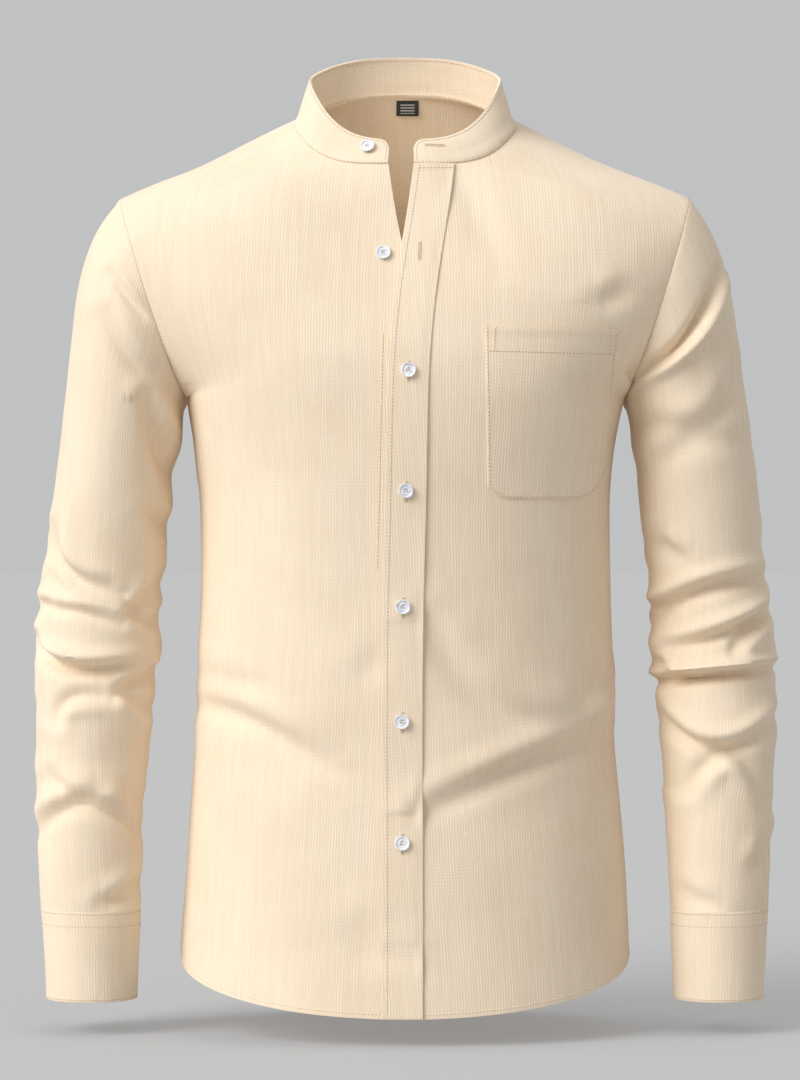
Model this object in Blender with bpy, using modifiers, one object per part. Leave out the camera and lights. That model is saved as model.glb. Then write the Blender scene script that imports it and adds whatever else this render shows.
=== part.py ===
"""A long-sleeved shirt with a mandarin collar, filled out as it is worn and hollow inside.

Each sewn piece is a grid of points on the outer face of its cloth. The points come from the
garment's edges (hem, side seams, armholes, neckline, shoulder seams) and from curves drawn
between them. A wall is then made inwards from each grid, and neighbours end a seam's gap apart.

Metres, +Z up. The wearer faces -Y, so the wearer's left is +X. The origin is the middle of the
neck, level with the points where the shoulder seams meet the collar.
"""

import math
from collections import namedtuple

import bmesh
import bpy
import numpy as np
from mathutils import Matrix, Vector
from mathutils.bvhtree import BVHTree

# ---------------------------------------------------------------- driving sizes

CLOTH = 0.0012          # wall of the body and sleeves
COLLAR_CLOTH = 0.0022   # two layers and a stiffener
CUFF_CLOTH = 0.0020
BAND_CLOTH = 0.0011     # placket and pocket
LABEL_CLOTH = 0.0010
SEAM = 0.0003           # gap between neighbours

LEFT, RIGHT = 1, -1     # the wearer's sides, as signs of X
FRONT, BACK = -1, 1     # signs of Y

ARMPIT_HEIGHT = -0.213
SHOULDER_HEIGHT = -0.056
ARMPIT_X = 0.170
SHOULDER_X = 0.222
ARMHOLE_FRONT = 0.072   # how far the armhole reaches forward and back
ARMHOLE_BACK = 0.078
ARMHOLE_STEPS = 14      # from the armpit to the shoulder seam, on each of front and back

NECK_X = 0.087          # the collar's seam: half width, front, back and heights
NECK_FRONT = 0.066
NECK_BACK = 0.055
NECK_FRONT_DROP = 0.035
NECK_BACK_RISE = 0.031
COLLAR_TOP_X = 0.076    # the collar's upper edge
COLLAR_TOP_FRONT = 0.051
COLLAR_TOP_BACK = 0.050
COLLAR_SIDE_RISE = 0.039
COLLAR_FRONT_RISE = -0.014
COLLAR_BACK_RISE = 0.061
COLLAR_CORNER = 0.010   # radius of the rounded front ends
COLLAR_END_SHARES = (0.15, 0.35, 0.62)   # extra columns there, as shares of the first one
COLLAR_HEIGHTS = (0.0, 0.36, 0.70, 1.0)
COLLAR_SWELL = 0.0010   # how far its middle stands out

BAND = 0.0315           # width of the placket and of the overlap beneath it
BAND_COLUMNS = 2
TUCK_START = -0.036     # height from which the right front goes beneath the left one
TUCK_HEIGHT = 0.030     # how much lower it lies fully beneath
SIDE_COLUMNS = 8        # from the band, or the centre back, to the side seam
FRONT_NECK_ROW = 10     # armhole step whose row starts at the neckline's front corner
BACK_NECK_ROW = 11
YOKE_ROW = 9            # armhole step at which the yoke is sewn to the back
FULLNESS = 0.62         # how square the body's section is, as a share of a curve's handles
SHOULDER_SLOPE = 0.55   # how steeply the shoulder leaves the collar
BACK_DROP = 1.15        # how much deeper the hem's curve is behind than in front
HEM_ARRIVE = 0.45       # how steeply the hem's curve meets the side, as a share of its drop

BUTTON_RADIUS = 0.00575
BUTTON_THICK = 0.0026
BUTTON_STEPS = 16

# Body sections from the hem to the armpit: height of the side seam, drop of the hem curve at
# the centre, half widths on each side, and how far front and back stand from the middle.
Section = namedtuple("Section", "height drop right left front back")
SECTIONS = (
    Section(-0.645, 0.036, 0.1755, 0.1750, 0.124, 0.116),
    Section(-0.612, 0.029, 0.1735, 0.1735, 0.122, 0.113),
    Section(-0.578, 0.022, 0.1705, 0.1720, 0.120, 0.110),
    Section(-0.542, 0.014, 0.1685, 0.1690, 0.119, 0.107),
    Section(-0.510, 0.008, 0.1660, 0.1660, 0.118, 0.104),
    Section(-0.482, 0.004, 0.1640, 0.1630, 0.117, 0.102),
    Section(-0.458, 0.002, 0.1650, 0.1625, 0.118, 0.101),
    Section(-0.434, 0.000, 0.1615, 0.1645, 0.118, 0.100),
    Section(-0.405, 0.000, 0.1610, 0.1615, 0.117, 0.099),
    Section(-0.372, 0.000, 0.1592, 0.1605, 0.117, 0.099),
    Section(-0.335, 0.000, 0.1588, 0.1598, 0.118, 0.101),
    Section(-0.295, 0.000, 0.1595, 0.1590, 0.120, 0.105),
    Section(-0.256, 0.000, 0.1630, 0.1615, 0.123, 0.110),
)

# The middle of the chest and of the back above the armpits.
Profile = namedtuple("Profile", "height depth")
CHEST = (
    Profile(-0.213, 0.1230), Profile(-0.196, 0.1220), Profile(-0.179, 0.1200), Profile(-0.162, 0.1155),
    Profile(-0.145, 0.1105), Profile(-0.127, 0.1040), Profile(-0.109, 0.0970), Profile(-0.091, 0.0895),
    Profile(-0.073, 0.0820), Profile(-0.054, 0.0740), Profile(-0.035, 0.0660),
)
NAPE = (
    Profile(-0.213, 0.1140), Profile(-0.196, 0.1148), Profile(-0.179, 0.1150), Profile(-0.162, 0.1147),
    Profile(-0.145, 0.1138), Profile(-0.128, 0.1120), Profile(-0.111, 0.1095), Profile(-0.094, 0.1060),
    Profile(-0.077, 0.1015), Profile(-0.060, 0.0965), Profile(-0.014, 0.0800), Profile(0.031, 0.0550),
)

# Centre of the button line on each front, down the body: the fronts part towards the neck.
FrontLine = namedtuple("FrontLine", "height right left")
FRONT_LINES = (
    FrontLine(-0.700, -0.0024, -0.0024), FrontLine(-0.560, -0.0023, -0.0023),
    FrontLine(-0.460, -0.0026, -0.0026), FrontLine(-0.372, -0.0018, -0.0018),
    FrontLine(-0.285, 0.0004, 0.0004), FrontLine(-0.195, 0.0024, 0.0024),
    FrontLine(-0.150, -0.0060, 0.0058), FrontLine(-0.105, -0.0165, 0.0118),
    FrontLine(-0.070, -0.0235, 0.0175), FrontLine(-0.035, -0.0287, 0.0222),
)

# Sleeve rings from the armhole to the cuff: the outer and inner points seen from the front, and
# how far the ring reaches forward and back.
Ring = namedtuple("Ring", "outer_x outer_z inner_x inner_z front back")
SLEEVE_RINGS = {
    LEFT: (
        Ring(0.2368, -0.076, 0.1720, -0.219, 0.072, 0.078),
        Ring(0.2478, -0.101, 0.1735, -0.226, 0.071, 0.077),
        Ring(0.2560, -0.134, 0.1745, -0.234, 0.069, 0.075),
        Ring(0.2610, -0.171, 0.1760, -0.243, 0.066, 0.072),
        Ring(0.2700, -0.240, 0.1800, -0.268, 0.060, 0.066),
        Ring(0.2785, -0.304, 0.1840, -0.308, 0.055, 0.061),
        Ring(0.2790, -0.333, 0.1880, -0.335, 0.053, 0.059),
        Ring(0.2830, -0.358, 0.1910, -0.362, 0.052, 0.058),
        Ring(0.2870, -0.376, 0.1905, -0.385, 0.053, 0.058),
        Ring(0.2865, -0.396, 0.1900, -0.406, 0.053, 0.056),
        Ring(0.2910, -0.420, 0.1930, -0.428, 0.055, 0.054),
        Ring(0.2875, -0.442, 0.1960, -0.449, 0.055, 0.051),
        Ring(0.2920, -0.463, 0.1960, -0.469, 0.056, 0.048),
        Ring(0.2870, -0.487, 0.2000, -0.492, 0.057, 0.044),
        Ring(0.2860, -0.521, 0.2015, -0.523, 0.058, 0.037),
        Ring(0.2838, -0.561, 0.2030, -0.561, 0.059, 0.029),
        Ring(0.2815, -0.606, 0.2056, -0.607, 0.059, 0.021),
    ),
    RIGHT: (
        Ring(0.2382, -0.075, 0.1725, -0.219, 0.072, 0.078),
        Ring(0.2485, -0.099, 0.1740, -0.226, 0.071, 0.077),
        Ring(0.2565, -0.131, 0.1750, -0.234, 0.069, 0.075),
        Ring(0.2600, -0.168, 0.1765, -0.243, 0.066, 0.072),
        Ring(0.2685, -0.240, 0.1795, -0.268, 0.060, 0.066),
        Ring(0.2770, -0.308, 0.1830, -0.305, 0.055, 0.061),
        Ring(0.2815, -0.337, 0.1860, -0.337, 0.053, 0.059),
        Ring(0.2865, -0.364, 0.1900, -0.361, 0.052, 0.058),
        Ring(0.2870, -0.382, 0.1910, -0.382, 0.053, 0.058),
        Ring(0.2910, -0.404, 0.1905, -0.402, 0.053, 0.056),
        Ring(0.2890, -0.424, 0.1940, -0.425, 0.055, 0.054),
        Ring(0.2880, -0.447, 0.1950, -0.447, 0.055, 0.051),
        Ring(0.2870, -0.470, 0.1970, -0.471, 0.056, 0.048),
        Ring(0.2880, -0.497, 0.2005, -0.496, 0.057, 0.044),
        Ring(0.2860, -0.532, 0.2030, -0.532, 0.058, 0.037),
        Ring(0.2852, -0.566, 0.2035, -0.568, 0.059, 0.029),
        Ring(0.2825, -0.606, 0.2050, -0.607, 0.059, 0.021),
    ),
}
CUFF_RINGS = (          # below the sleeve's last ring
    Ring(0.2802, -0.630, 0.2056, -0.630, 0.0595, 0.020),
    Ring(0.2788, -0.653, 0.2062, -0.653, 0.0595, 0.019),
    Ring(0.2775, -0.676, 0.2068, -0.676, 0.059, 0.018),
)
ARMHOLE_RINGS = 5       # rings over which the armhole's bend settles into the sleeve
CUFF_FIRST = 8          # columns before the seam under the arm at which a cuff starts
CUFF_LAP_COLUMNS = 3    # columns by which a cuff's ends lie over each other

# Broad folds: a bowed line from start to end as (x, z), how far its middle bows, how wide the
# fold is, and how far it rises from the cloth (troughs are negative). Face is FRONT or BACK.
Fold = namedtuple("Fold", "start end bow width rise face")
FOLD_FACING = 1.6       # how soon a fold has its full rise as the cloth turns to face it
FOLD_CLEAR = 0.65       # how far from the centre folds begin, in band widths
FOLDS = (
    Fold((-0.166, -0.448), (-0.058, -0.493), -0.006, 0.016, -0.0050, FRONT),
    Fold((-0.164, -0.475), (-0.080, -0.512), -0.004, 0.018, 0.0030, FRONT),
    Fold((0.142, -0.479), (0.014, -0.523), -0.010, 0.016, -0.0055, FRONT),
    Fold((0.140, -0.452), (0.020, -0.490), -0.008, 0.020, 0.0045, FRONT),
    Fold((0.018, -0.385), (0.125, -0.462), -0.012, 0.022, -0.0020, FRONT),
    Fold((-0.150, -0.440), (-0.040, -0.486), -0.008, 0.018, -0.0050, BACK),
    Fold((0.150, -0.450), (0.030, -0.500), -0.008, 0.018, -0.0055, BACK),
    Fold((-0.286, -0.401), (-0.194, -0.419), -0.010, 0.012, -0.0060, FRONT),
    Fold((-0.282, -0.350), (-0.205, -0.372), -0.012, 0.012, -0.0040, FRONT),
    Fold((-0.286, -0.500), (-0.203, -0.512), 0.012, 0.013, -0.0040, FRONT),
    Fold((0.194, -0.434), (0.289, -0.423), -0.004, 0.011, -0.0060, FRONT),
    Fold((0.197, -0.455), (0.290, -0.462), -0.012, 0.012, 0.0035, FRONT),
    Fold((0.190, -0.384), (0.286, -0.352), 0.004, 0.012, -0.0040, FRONT),
    Fold((-0.285, -0.430), (-0.198, -0.440), -0.008, 0.013, -0.0055, BACK),
    Fold((0.196, -0.442), (0.288, -0.430), -0.006, 0.013, -0.0055, BACK),
)

# Buttons as (x, z): at the neck and, open, on the right front; then heights down the placket.
NECK_BUTTON = (-0.0287, -0.0216)
OPEN_BUTTON = (-0.0167, -0.1055)
PLACKET_BUTTONS = (-0.195, -0.285, -0.372, -0.458, -0.549)
CUFF_BUTTON_X = 0.252             # on the outer end of the lap, behind the wrist
CUFF_BUTTON_HEIGHT = -0.641

# Pocket outline on the left front: sides lean a little, lower corners are round.
POCKET_TOP = -0.160
POCKET_BOTTOM = -0.2905
POCKET_INNER = (0.0600, 0.0580)   # X at the top and at the bottom
POCKET_OUTER = (0.1612, 0.1505)
POCKET_CORNER = 0.022
POCKET_LEAN = 0.03                # slope of the top edge towards the side

LABEL_WIDTH = 0.018
LABEL_HEIGHT = 0.0135
LABEL_CENTRE = 0.002
LABEL_DROP = 0.0030               # from the collar's seam to its top edge

SHARP_EDGE = math.radians(50)     # bends above this are drawn as edges
PATCH_MERGE = 0.0008              # cut points closer than this become one

# Colours as linear red, green and blue.
CREAM = (0.82, 0.69, 0.49)
PEARL = (0.86, 0.87, 0.88)
LABEL_BLACK = (0.03, 0.03, 0.035)

# ---------------------------------------------------------------- scene


def clear_scene():
    for thing in list(bpy.data.objects):
        bpy.data.objects.remove(thing, do_unlink=True)


def principled(name, colour, roughness, metallic=0.0):
    material = bpy.data.materials.new(name)
    material.use_nodes = True
    shader = material.node_tree.nodes["Principled BSDF"]
    shader.inputs["Base Color"].default_value = (*colour, 1.0)
    shader.inputs["Roughness"].default_value = roughness
    shader.inputs["Metallic"].default_value = metallic
    material.diffuse_color = (*colour, 1.0)
    return material


# ---------------------------------------------------------------- curves and tables


def read_table(rows, column, height):
    """A column's value at a height, on a smooth curve through the table's rows."""
    heights = np.array([row.height for row in rows])
    values = np.array([getattr(row, column) for row in rows])
    slopes = np.gradient(values, heights)
    height = min(max(height, heights[0]), heights[-1])
    i = min(int(np.searchsorted(heights, height, side="right")) - 1, len(rows) - 2)
    span = heights[i + 1] - heights[i]
    t = (height - heights[i]) / span
    return float(
        values[i] * (1 + 2 * t) * (1 - t) ** 2
        + slopes[i] * span * t * (1 - t) ** 2
        + values[i + 1] * t * t * (3 - 2 * t)
        + slopes[i + 1] * span * t * t * (t - 1)
    )


def curve_point(curve, t):
    """A point on a cubic curve given as start, first handle, second handle and end."""
    a, b, c, d = curve
    return a * (1 - t) ** 3 + 3 * b * t * (1 - t) ** 2 + 3 * c * t * t * (1 - t) + d * t ** 3


def at_x(curve, x):
    """The share of a row's curve at which it reaches x, found by halving."""
    low, high = 0.0, 1.0
    for _ in range(40):
        middle = (low + high) / 2
        if curve_point(curve, middle)[0] < x:
            low = middle
        else:
            high = middle
    return (low + high) / 2


def ease(t):
    t = min(max(t, 0.0), 1.0)
    return t * t * (3 - 2 * t)


# ---------------------------------------------------------------- seam lines of the body


def armhole(step, face):
    """Point of the armhole, from the armpit at step 0 to the shoulder at the last step."""
    angle = math.pi * step / ARMHOLE_STEPS
    rise = (1 - math.cos(angle)) / 2
    reach = ARMHOLE_FRONT if face == FRONT else ARMHOLE_BACK
    return np.array((
        ARMPIT_X + (SHOULDER_X - ARMPIT_X) * rise ** 0.9,
        face * reach * max(math.sin(angle), 0.0) ** 0.9,
        ARMPIT_HEIGHT + (SHOULDER_HEIGHT - ARMPIT_HEIGHT) * rise,
    ))


def oval(half_width, depth, x):
    """Depth of a rounded oval at x."""
    return depth * max(1 - abs(x / half_width) ** 2.2, 0.0) ** (1 / 2.2)


def neck_seam(x, face):
    """Point of the collar's seam at x."""
    share = abs(x / NECK_X)
    if face == FRONT:
        return np.array((x, -oval(NECK_X, NECK_FRONT, x), -NECK_FRONT_DROP * (1 - share ** 5)))
    return np.array((x, oval(NECK_X, NECK_BACK, x), NECK_BACK_RISE * (1 - share ** 4)))


def collar_top(x, face):
    """Point of the collar's upper edge at x."""
    share = abs(x / COLLAR_TOP_X) ** 4
    if face == FRONT:
        height = COLLAR_FRONT_RISE + (COLLAR_SIDE_RISE - COLLAR_FRONT_RISE) * share
        return np.array((x, -oval(COLLAR_TOP_X, COLLAR_TOP_FRONT, x), height))
    height = COLLAR_BACK_RISE + (COLLAR_SIDE_RISE - COLLAR_BACK_RISE) * share
    return np.array((x, oval(COLLAR_TOP_X, COLLAR_TOP_BACK, x), height))


def armhole_way(step, face):
    """Direction in which a row of the body crosses the armhole, outwards."""
    share = step / ARMHOLE_STEPS
    out = 0.93 * (1 - (1 - share) ** 3)
    down = -0.45 * share ** 1.3
    round_the_side = math.sqrt(max(1 - out * out - down * down, 0.0))
    way = np.array((out, -face * round_the_side, down))
    return way / np.linalg.norm(way)


def body_curve(section, side, face):
    """A section of the body from its centre to the side seam."""
    width = section.left if side == LEFT else section.right
    depth = section.front if face == FRONT else section.back
    drop = section.drop * (1.0 if face == FRONT else BACK_DROP)
    start = np.array((0.0, face * depth, section.height - drop))
    end = np.array((width, 0.0, section.height))
    leave = start + np.array((FULLNESS * width, 0.0, 0.0))
    arrive = end + np.array((0.0, face * FULLNESS * depth, -HEM_ARRIVE * drop))
    return start, leave, arrive, end


def yoke_curve(step, face, start):
    """A row above the armpit, from the centre or the neckline to the armhole.

    Its handles shorten towards the shoulder, where rows are nearly straight.
    """
    end = armhole(step, face)
    chord = np.linalg.norm(end - start)
    along = step / ARMHOLE_STEPS
    arrive = end - armhole_way(step, face) * chord * (0.42 - 0.09 * along)
    neck_row = FRONT_NECK_ROW if face == FRONT else BACK_NECK_ROW
    after_neck = max(step - neck_row, 0) / (ARMHOLE_STEPS - neck_row)
    leave = np.array((1.0, 0.0, -SHOULDER_SLOPE * after_neck ** 0.6)) * chord * (0.56 - 0.23 * along)
    leave = start + leave
    return start, leave, arrive, end


# ---------------------------------------------------------------- panels


class Panel:
    """The outer face of a sewn piece: named points and the faces between them."""

    def __init__(self, name):
        self.name = name
        self.points = {}
        self.faces = []

    def add_grid(self, keys, turn):
        """Faces between rows of keys; turn reverses them so that they face outwards."""
        for low, high in zip(keys[:-1], keys[1:]):
            for a, b, c, d in zip(low[:-1], low[1:], high[1:], high[:-1]):
                corners = [k for k in (a, b, c, d) if k is not None]
                if len(corners) == 4:
                    self.faces.append(corners[::-1] if turn else corners)

    def triangles(self):
        """The faces, each split along the same diagonal, so that pieces on each other agree."""
        halves = []
        for a, b, c, d in self.faces:
            halves += [(a, b, c), (a, c, d)]
        return halves

    def normals(self):
        """Unit normal at each point, from the panel's own faces."""
        total = {key: np.zeros(3) for key in self.points}
        for face in self.faces:
            a, b, c, d = (self.points[key] for key in face)
            normal = np.cross(c - a, d - b)
            for key in face:
                total[key] += normal
        return {key: vector / np.linalg.norm(vector) for key, vector in total.items()}

    def inward(self):
        """For each point on the panel's edge, the move that takes every edge in by one."""
        normals = self.normals()
        moves = {}
        for a, b in self.open_edges():
            move = np.cross(normals[a] + normals[b], self.points[b] - self.points[a])
            move /= np.linalg.norm(move)
            moves.setdefault(a, []).append(move)
            moves.setdefault(b, []).append(move)
        return {
            key: sum(both) / max(1 + float(np.dot(both[0], both[-1])), 0.5)
            for key, both in moves.items()
        }

    def open_edges(self):
        """The panel's outer edges, as pairs of keys in their face's order."""
        seen = {}
        for face in self.faces:
            for a, b in zip(face, face[1:] + face[:1]):
                seen.setdefault(frozenset((a, b)), []).append((a, b))
        return [pairs[0] for pairs in seen.values() if len(pairs) == 1]


def place(point):
    return tuple(np.round(point * 1e6).astype(int))


def shared_normals(panels):
    """Mean of the neighbouring panels' normals wherever their points meet."""
    meeting = {}
    for panel in panels:
        for key, normal in panel.normals().items():
            meeting.setdefault(place(panel.points[key]), []).append(normal)
    return {
        where: sum(normals) / max(np.linalg.norm(sum(normals)), 1e-9)
        for where, normals in meeting.items()
    }


def fold_rise(point, face):
    """How far the broad folds lift the cloth at a point."""
    rise = 0.0
    for fold in FOLDS:
        if fold.face != face:
            continue
        start, end = np.array(fold.start), np.array(fold.end)
        way = end - start
        along = float(np.dot(point[[0, 2]] - start, way) / np.dot(way, way))
        along = min(max(along, 0.0), 1.0)
        bow = np.array((0.0, fold.bow * 4 * along * (1 - along)))
        distance = np.linalg.norm(point[[0, 2]] - (start + way * along + bow))
        rise += fold.rise * math.exp(-((distance / fold.width) ** 2))
    return rise


def press_folds(panels):
    """Moves the panels' points along their shared normals by the folds' rise."""
    shared = shared_normals(panels)
    for panel in panels:
        for key, point in panel.points.items():
            normal = shared[place(point)]
            strength = ease(abs(normal[1]) * FOLD_FACING) * ease(abs(point[0]) / BAND - FOLD_CLEAR)
            face = FRONT if normal[1] < 0 else BACK
            panel.points[key] = point + normal * fold_rise(point, face) * strength


def front_panel(side):
    """One front: the band along its edge, and the rest out to the side seam and the armhole."""
    panel = Panel("front_left" if side == LEFT else "front_right")
    column = "left" if side == LEFT else "right"
    rows = []
    body = [(body_curve(section, side, FRONT), section) for section in SECTIONS]
    for curve, section in body:
        rows.append((curve, section.height - section.drop))
    for step in range(FRONT_NECK_ROW):
        centre = np.array((0.0, -CHEST[step].depth, CHEST[step].height))
        rows.append((yoke_curve(step, FRONT, centre), CHEST[step].height))
    keys = []
    for j, (curve, height) in enumerate(rows):
        edge = side * read_table(FRONT_LINES, column, height) - BAND / 2
        row = []
        for i in range(BAND_COLUMNS + 1):
            x = edge + BAND * i / BAND_COLUMNS
            point = curve_point(curve, at_x(curve, abs(x)))
            panel.points[j, i] = np.array((side * x, point[1], point[2]))
            row.append((j, i))
        start = at_x(curve, edge + BAND)
        for i in range(1, SIDE_COLUMNS + 1):
            point = curve_point(curve, start + (1 - start) * i / SIDE_COLUMNS)
            panel.points[j, BAND_COLUMNS + i] = point * (side, 1, 1)
            row.append((j, BAND_COLUMNS + i))
        keys.append(row)
    neckline = neck_columns(side, FRONT)
    for step in range(FRONT_NECK_ROW, ARMHOLE_STEPS + 1):
        j = len(SECTIONS) + step
        x = neckline[BAND_COLUMNS + step - FRONT_NECK_ROW]
        curve = yoke_curve(step, FRONT, neck_seam(x, FRONT))
        row = [None] * BAND_COLUMNS
        if step == FRONT_NECK_ROW:
            row = [(j, i) for i in range(BAND_COLUMNS)]
            for key in row:
                panel.points[key] = neck_seam(neckline[key[1]], FRONT) * (side, 1, 1)
        for i in range(SIDE_COLUMNS + 1):
            panel.points[j, BAND_COLUMNS + i] = curve_point(curve, i / SIDE_COLUMNS) * (side, 1, 1)
            row.append((j, BAND_COLUMNS + i))
        keys.append(row)
    panel.add_grid(keys, turn=side == RIGHT)
    return panel


def back_panels():
    """The back and, above it, the yoke, each in two halves that meet at the centre line."""
    back, yoke = Panel("back"), Panel("yoke")
    seam = len(SECTIONS) + YOKE_ROW
    for side in (LEFT, RIGHT):
        keys = []
        curves = [body_curve(section, side, BACK) for section in SECTIONS]
        for step in range(ARMHOLE_STEPS + 1):
            if step <= BACK_NECK_ROW:
                start = np.array((0.0, NAPE[step].depth, NAPE[step].height))
            else:
                start = neck_seam(neck_columns(side, BACK)[step - BACK_NECK_ROW], BACK)
            curves.append(yoke_curve(step, BACK, start))
        for j, curve in enumerate(curves):
            row = []
            for i in range(SIDE_COLUMNS + 1):
                centre = i == 0 and j <= len(SECTIONS) + BACK_NECK_ROW
                key = (j, 0, 0) if centre else (j, i, side)
                point = curve_point(curve, i / SIDE_COLUMNS) * (side, 1, 1)
                if j <= seam:
                    back.points[key] = point
                if j >= seam:
                    yoke.points[key] = point
                row.append(key)
            keys.append(row)
        back.add_grid(keys[:seam + 1], turn=side == LEFT)
        yoke.add_grid(keys[seam:], turn=side == LEFT)
    return back, yoke


def ring_steps():
    """Angle steps round a sleeve: up the front from the armpit, and down the back."""
    front = [(step, FRONT) for step in range(ARMHOLE_STEPS + 1)]
    back = [(step, BACK) for step in range(ARMHOLE_STEPS - 1, 0, -1)]
    return front + back


def ring_point(ring, step, face):
    """Point of a sleeve ring, at the same step as the armhole's."""
    angle = math.pi * step / ARMHOLE_STEPS
    out = (1 - math.cos(angle)) / 2
    centre = (ring.back - ring.front) / 2
    half = (ring.back + ring.front) / 2
    return np.array((
        ring.inner_x + (ring.outer_x - ring.inner_x) * out,
        centre + face * half * max(math.sin(angle), 0.0) ** 0.9,
        ring.inner_z + (ring.outer_z - ring.inner_z) * out,
    ))


def sleeve_panel(side):
    """A sleeve, as rings from the armhole to the cuff."""
    panel = Panel("sleeve_left" if side == LEFT else "sleeve_right")
    steps = ring_steps()
    flat_armhole = Ring(SHOULDER_X, SHOULDER_HEIGHT, ARMPIT_X, ARMPIT_HEIGHT, ARMHOLE_FRONT, ARMHOLE_BACK)
    keys = []
    for j in range(len(SLEEVE_RINGS[side]) + 1):
        row = []
        for i, (step, face) in enumerate(steps):
            at_armhole = armhole(step, face)
            if j == 0:
                point = at_armhole
            else:
                settle = max(1 - j / ARMHOLE_RINGS, 0.0) ** 2
                bent = at_armhole - ring_point(flat_armhole, step, face)
                point = ring_point(SLEEVE_RINGS[side][j - 1], step, face) + bent * settle
            panel.points[j, i] = point * (side, 1, 1)
            row.append((j, i))
        keys.append(row + row[:1])
    panel.add_grid(keys, turn=side == LEFT)
    return panel


def cuff_panel(side):
    """A cuff: one turn round the wrist and a lap over its own end, at the back."""
    panel = Panel("cuff_left" if side == LEFT else "cuff_right")
    steps = ring_steps()
    first = len(steps) - CUFF_FIRST
    columns = [steps[(first + i) % len(steps)] for i in range(len(steps) + CUFF_LAP_COLUMNS)]
    keys = []
    for j, ring in enumerate((SLEEVE_RINGS[side][-1], *CUFF_RINGS)):
        middle = np.array(((ring.outer_x + ring.inner_x) / 2, (ring.back - ring.front) / 2, 0.0))
        row = []
        for i, (step, face) in enumerate(columns):
            point = ring_point(ring, step, face)
            away = (point - middle) * (1, 1, 0)
            away /= np.linalg.norm(away)
            lap = ease((i - len(steps) + 2) / 2)
            point = point + away * (CUFF_CLOTH + 2 * SEAM) * lap
            panel.points[j, i] = point * (side, 1, 1)
            row.append((j, i))
        keys.append(row)
    panel.add_grid(keys, turn=side == LEFT)
    return panel


def neck_edge(side):
    """How far from the centre a front's edge meets the collar, towards its own side."""
    line = FRONT_LINES[-1]
    return side * (line.left if side == LEFT else line.right) - BAND / 2


def neck_columns(side, face):
    """Distances from the centre of the points where the body's columns meet the collar."""
    if face == BACK:
        steps = ARMHOLE_STEPS - BACK_NECK_ROW
        return [NECK_X * math.sin(i / steps * math.pi / 2) for i in range(steps + 1)]
    edge = neck_edge(side)
    steps = ARMHOLE_STEPS - FRONT_NECK_ROW
    band = [edge + BAND * i / BAND_COLUMNS for i in range(BAND_COLUMNS)]
    beyond = NECK_X - edge - BAND
    return band + [edge + BAND + beyond * math.sin(i / steps * math.pi / 2) for i in range(steps + 1)]


def collar_columns(side, face):
    """Base points of the collar's columns, with extra ones where its front end is rounded."""
    base = [neck_seam(x, face) for x in neck_columns(side, face)]
    if face == FRONT:
        ends = [base[0] + (base[1] - base[0]) * share for share in COLLAR_END_SHARES]
        base = base[:1] + ends + base[1:]
    return base


def collar_panel():
    """The stand collar, from its right front end round the back to its left one."""
    panel = Panel("collar")
    columns = []
    for side, face in ((RIGHT, FRONT), (RIGHT, BACK), (LEFT, BACK), (LEFT, FRONT)):
        stretch = [(side, face, base) for base in collar_columns(side, face)]
        if (side, face) in ((RIGHT, BACK), (LEFT, FRONT)):
            stretch.reverse()
        columns += stretch if not columns else stretch[1:]
    keys = [[] for _ in COLLAR_HEIGHTS]
    for i, (side, face, base) in enumerate(columns):
        top = collar_top(base[0] / NECK_X * COLLAR_TOP_X, face)
        tall = np.linalg.norm(top - base)
        from_end = base[0] - neck_edge(side) if face == FRONT else COLLAR_CORNER
        short = COLLAR_CORNER - min(from_end, COLLAR_CORNER)
        cut = COLLAR_CORNER - math.sqrt(COLLAR_CORNER ** 2 - short ** 2)
        top = base + (top - base) * (tall - cut) / tall
        for j, height in enumerate(COLLAR_HEIGHTS):
            point = base + (top - base) * height
            away = point * (1, 1, 0) / np.linalg.norm(point * (1, 1, 0))
            panel.points[j, i] = (point + away * COLLAR_SWELL * math.sin(math.pi * height)) * (side, 1, 1)
            keys[j].append((j, i))
    panel.add_grid(keys, turn=True)
    return panel


def tuck_under(panel):
    """Moves the right front's band inwards, so that it lies beneath the left front."""
    normals = panel.normals()
    for (j, i), point in panel.points.items():
        across = ease((BAND_COLUMNS + 2 - i) / 2)
        below = ease((TUCK_START - point[2]) / TUCK_HEIGHT)
        panel.points[j, i] = point - normals[j, i] * (CLOTH + 2 * SEAM) * across * below


# ---------------------------------------------------------------- solids


def new_object(name, mesh, material, collection):
    thing = bpy.data.objects.new(name, mesh)
    mesh.materials.append(material)
    collection.objects.link(thing)
    return thing


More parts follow.
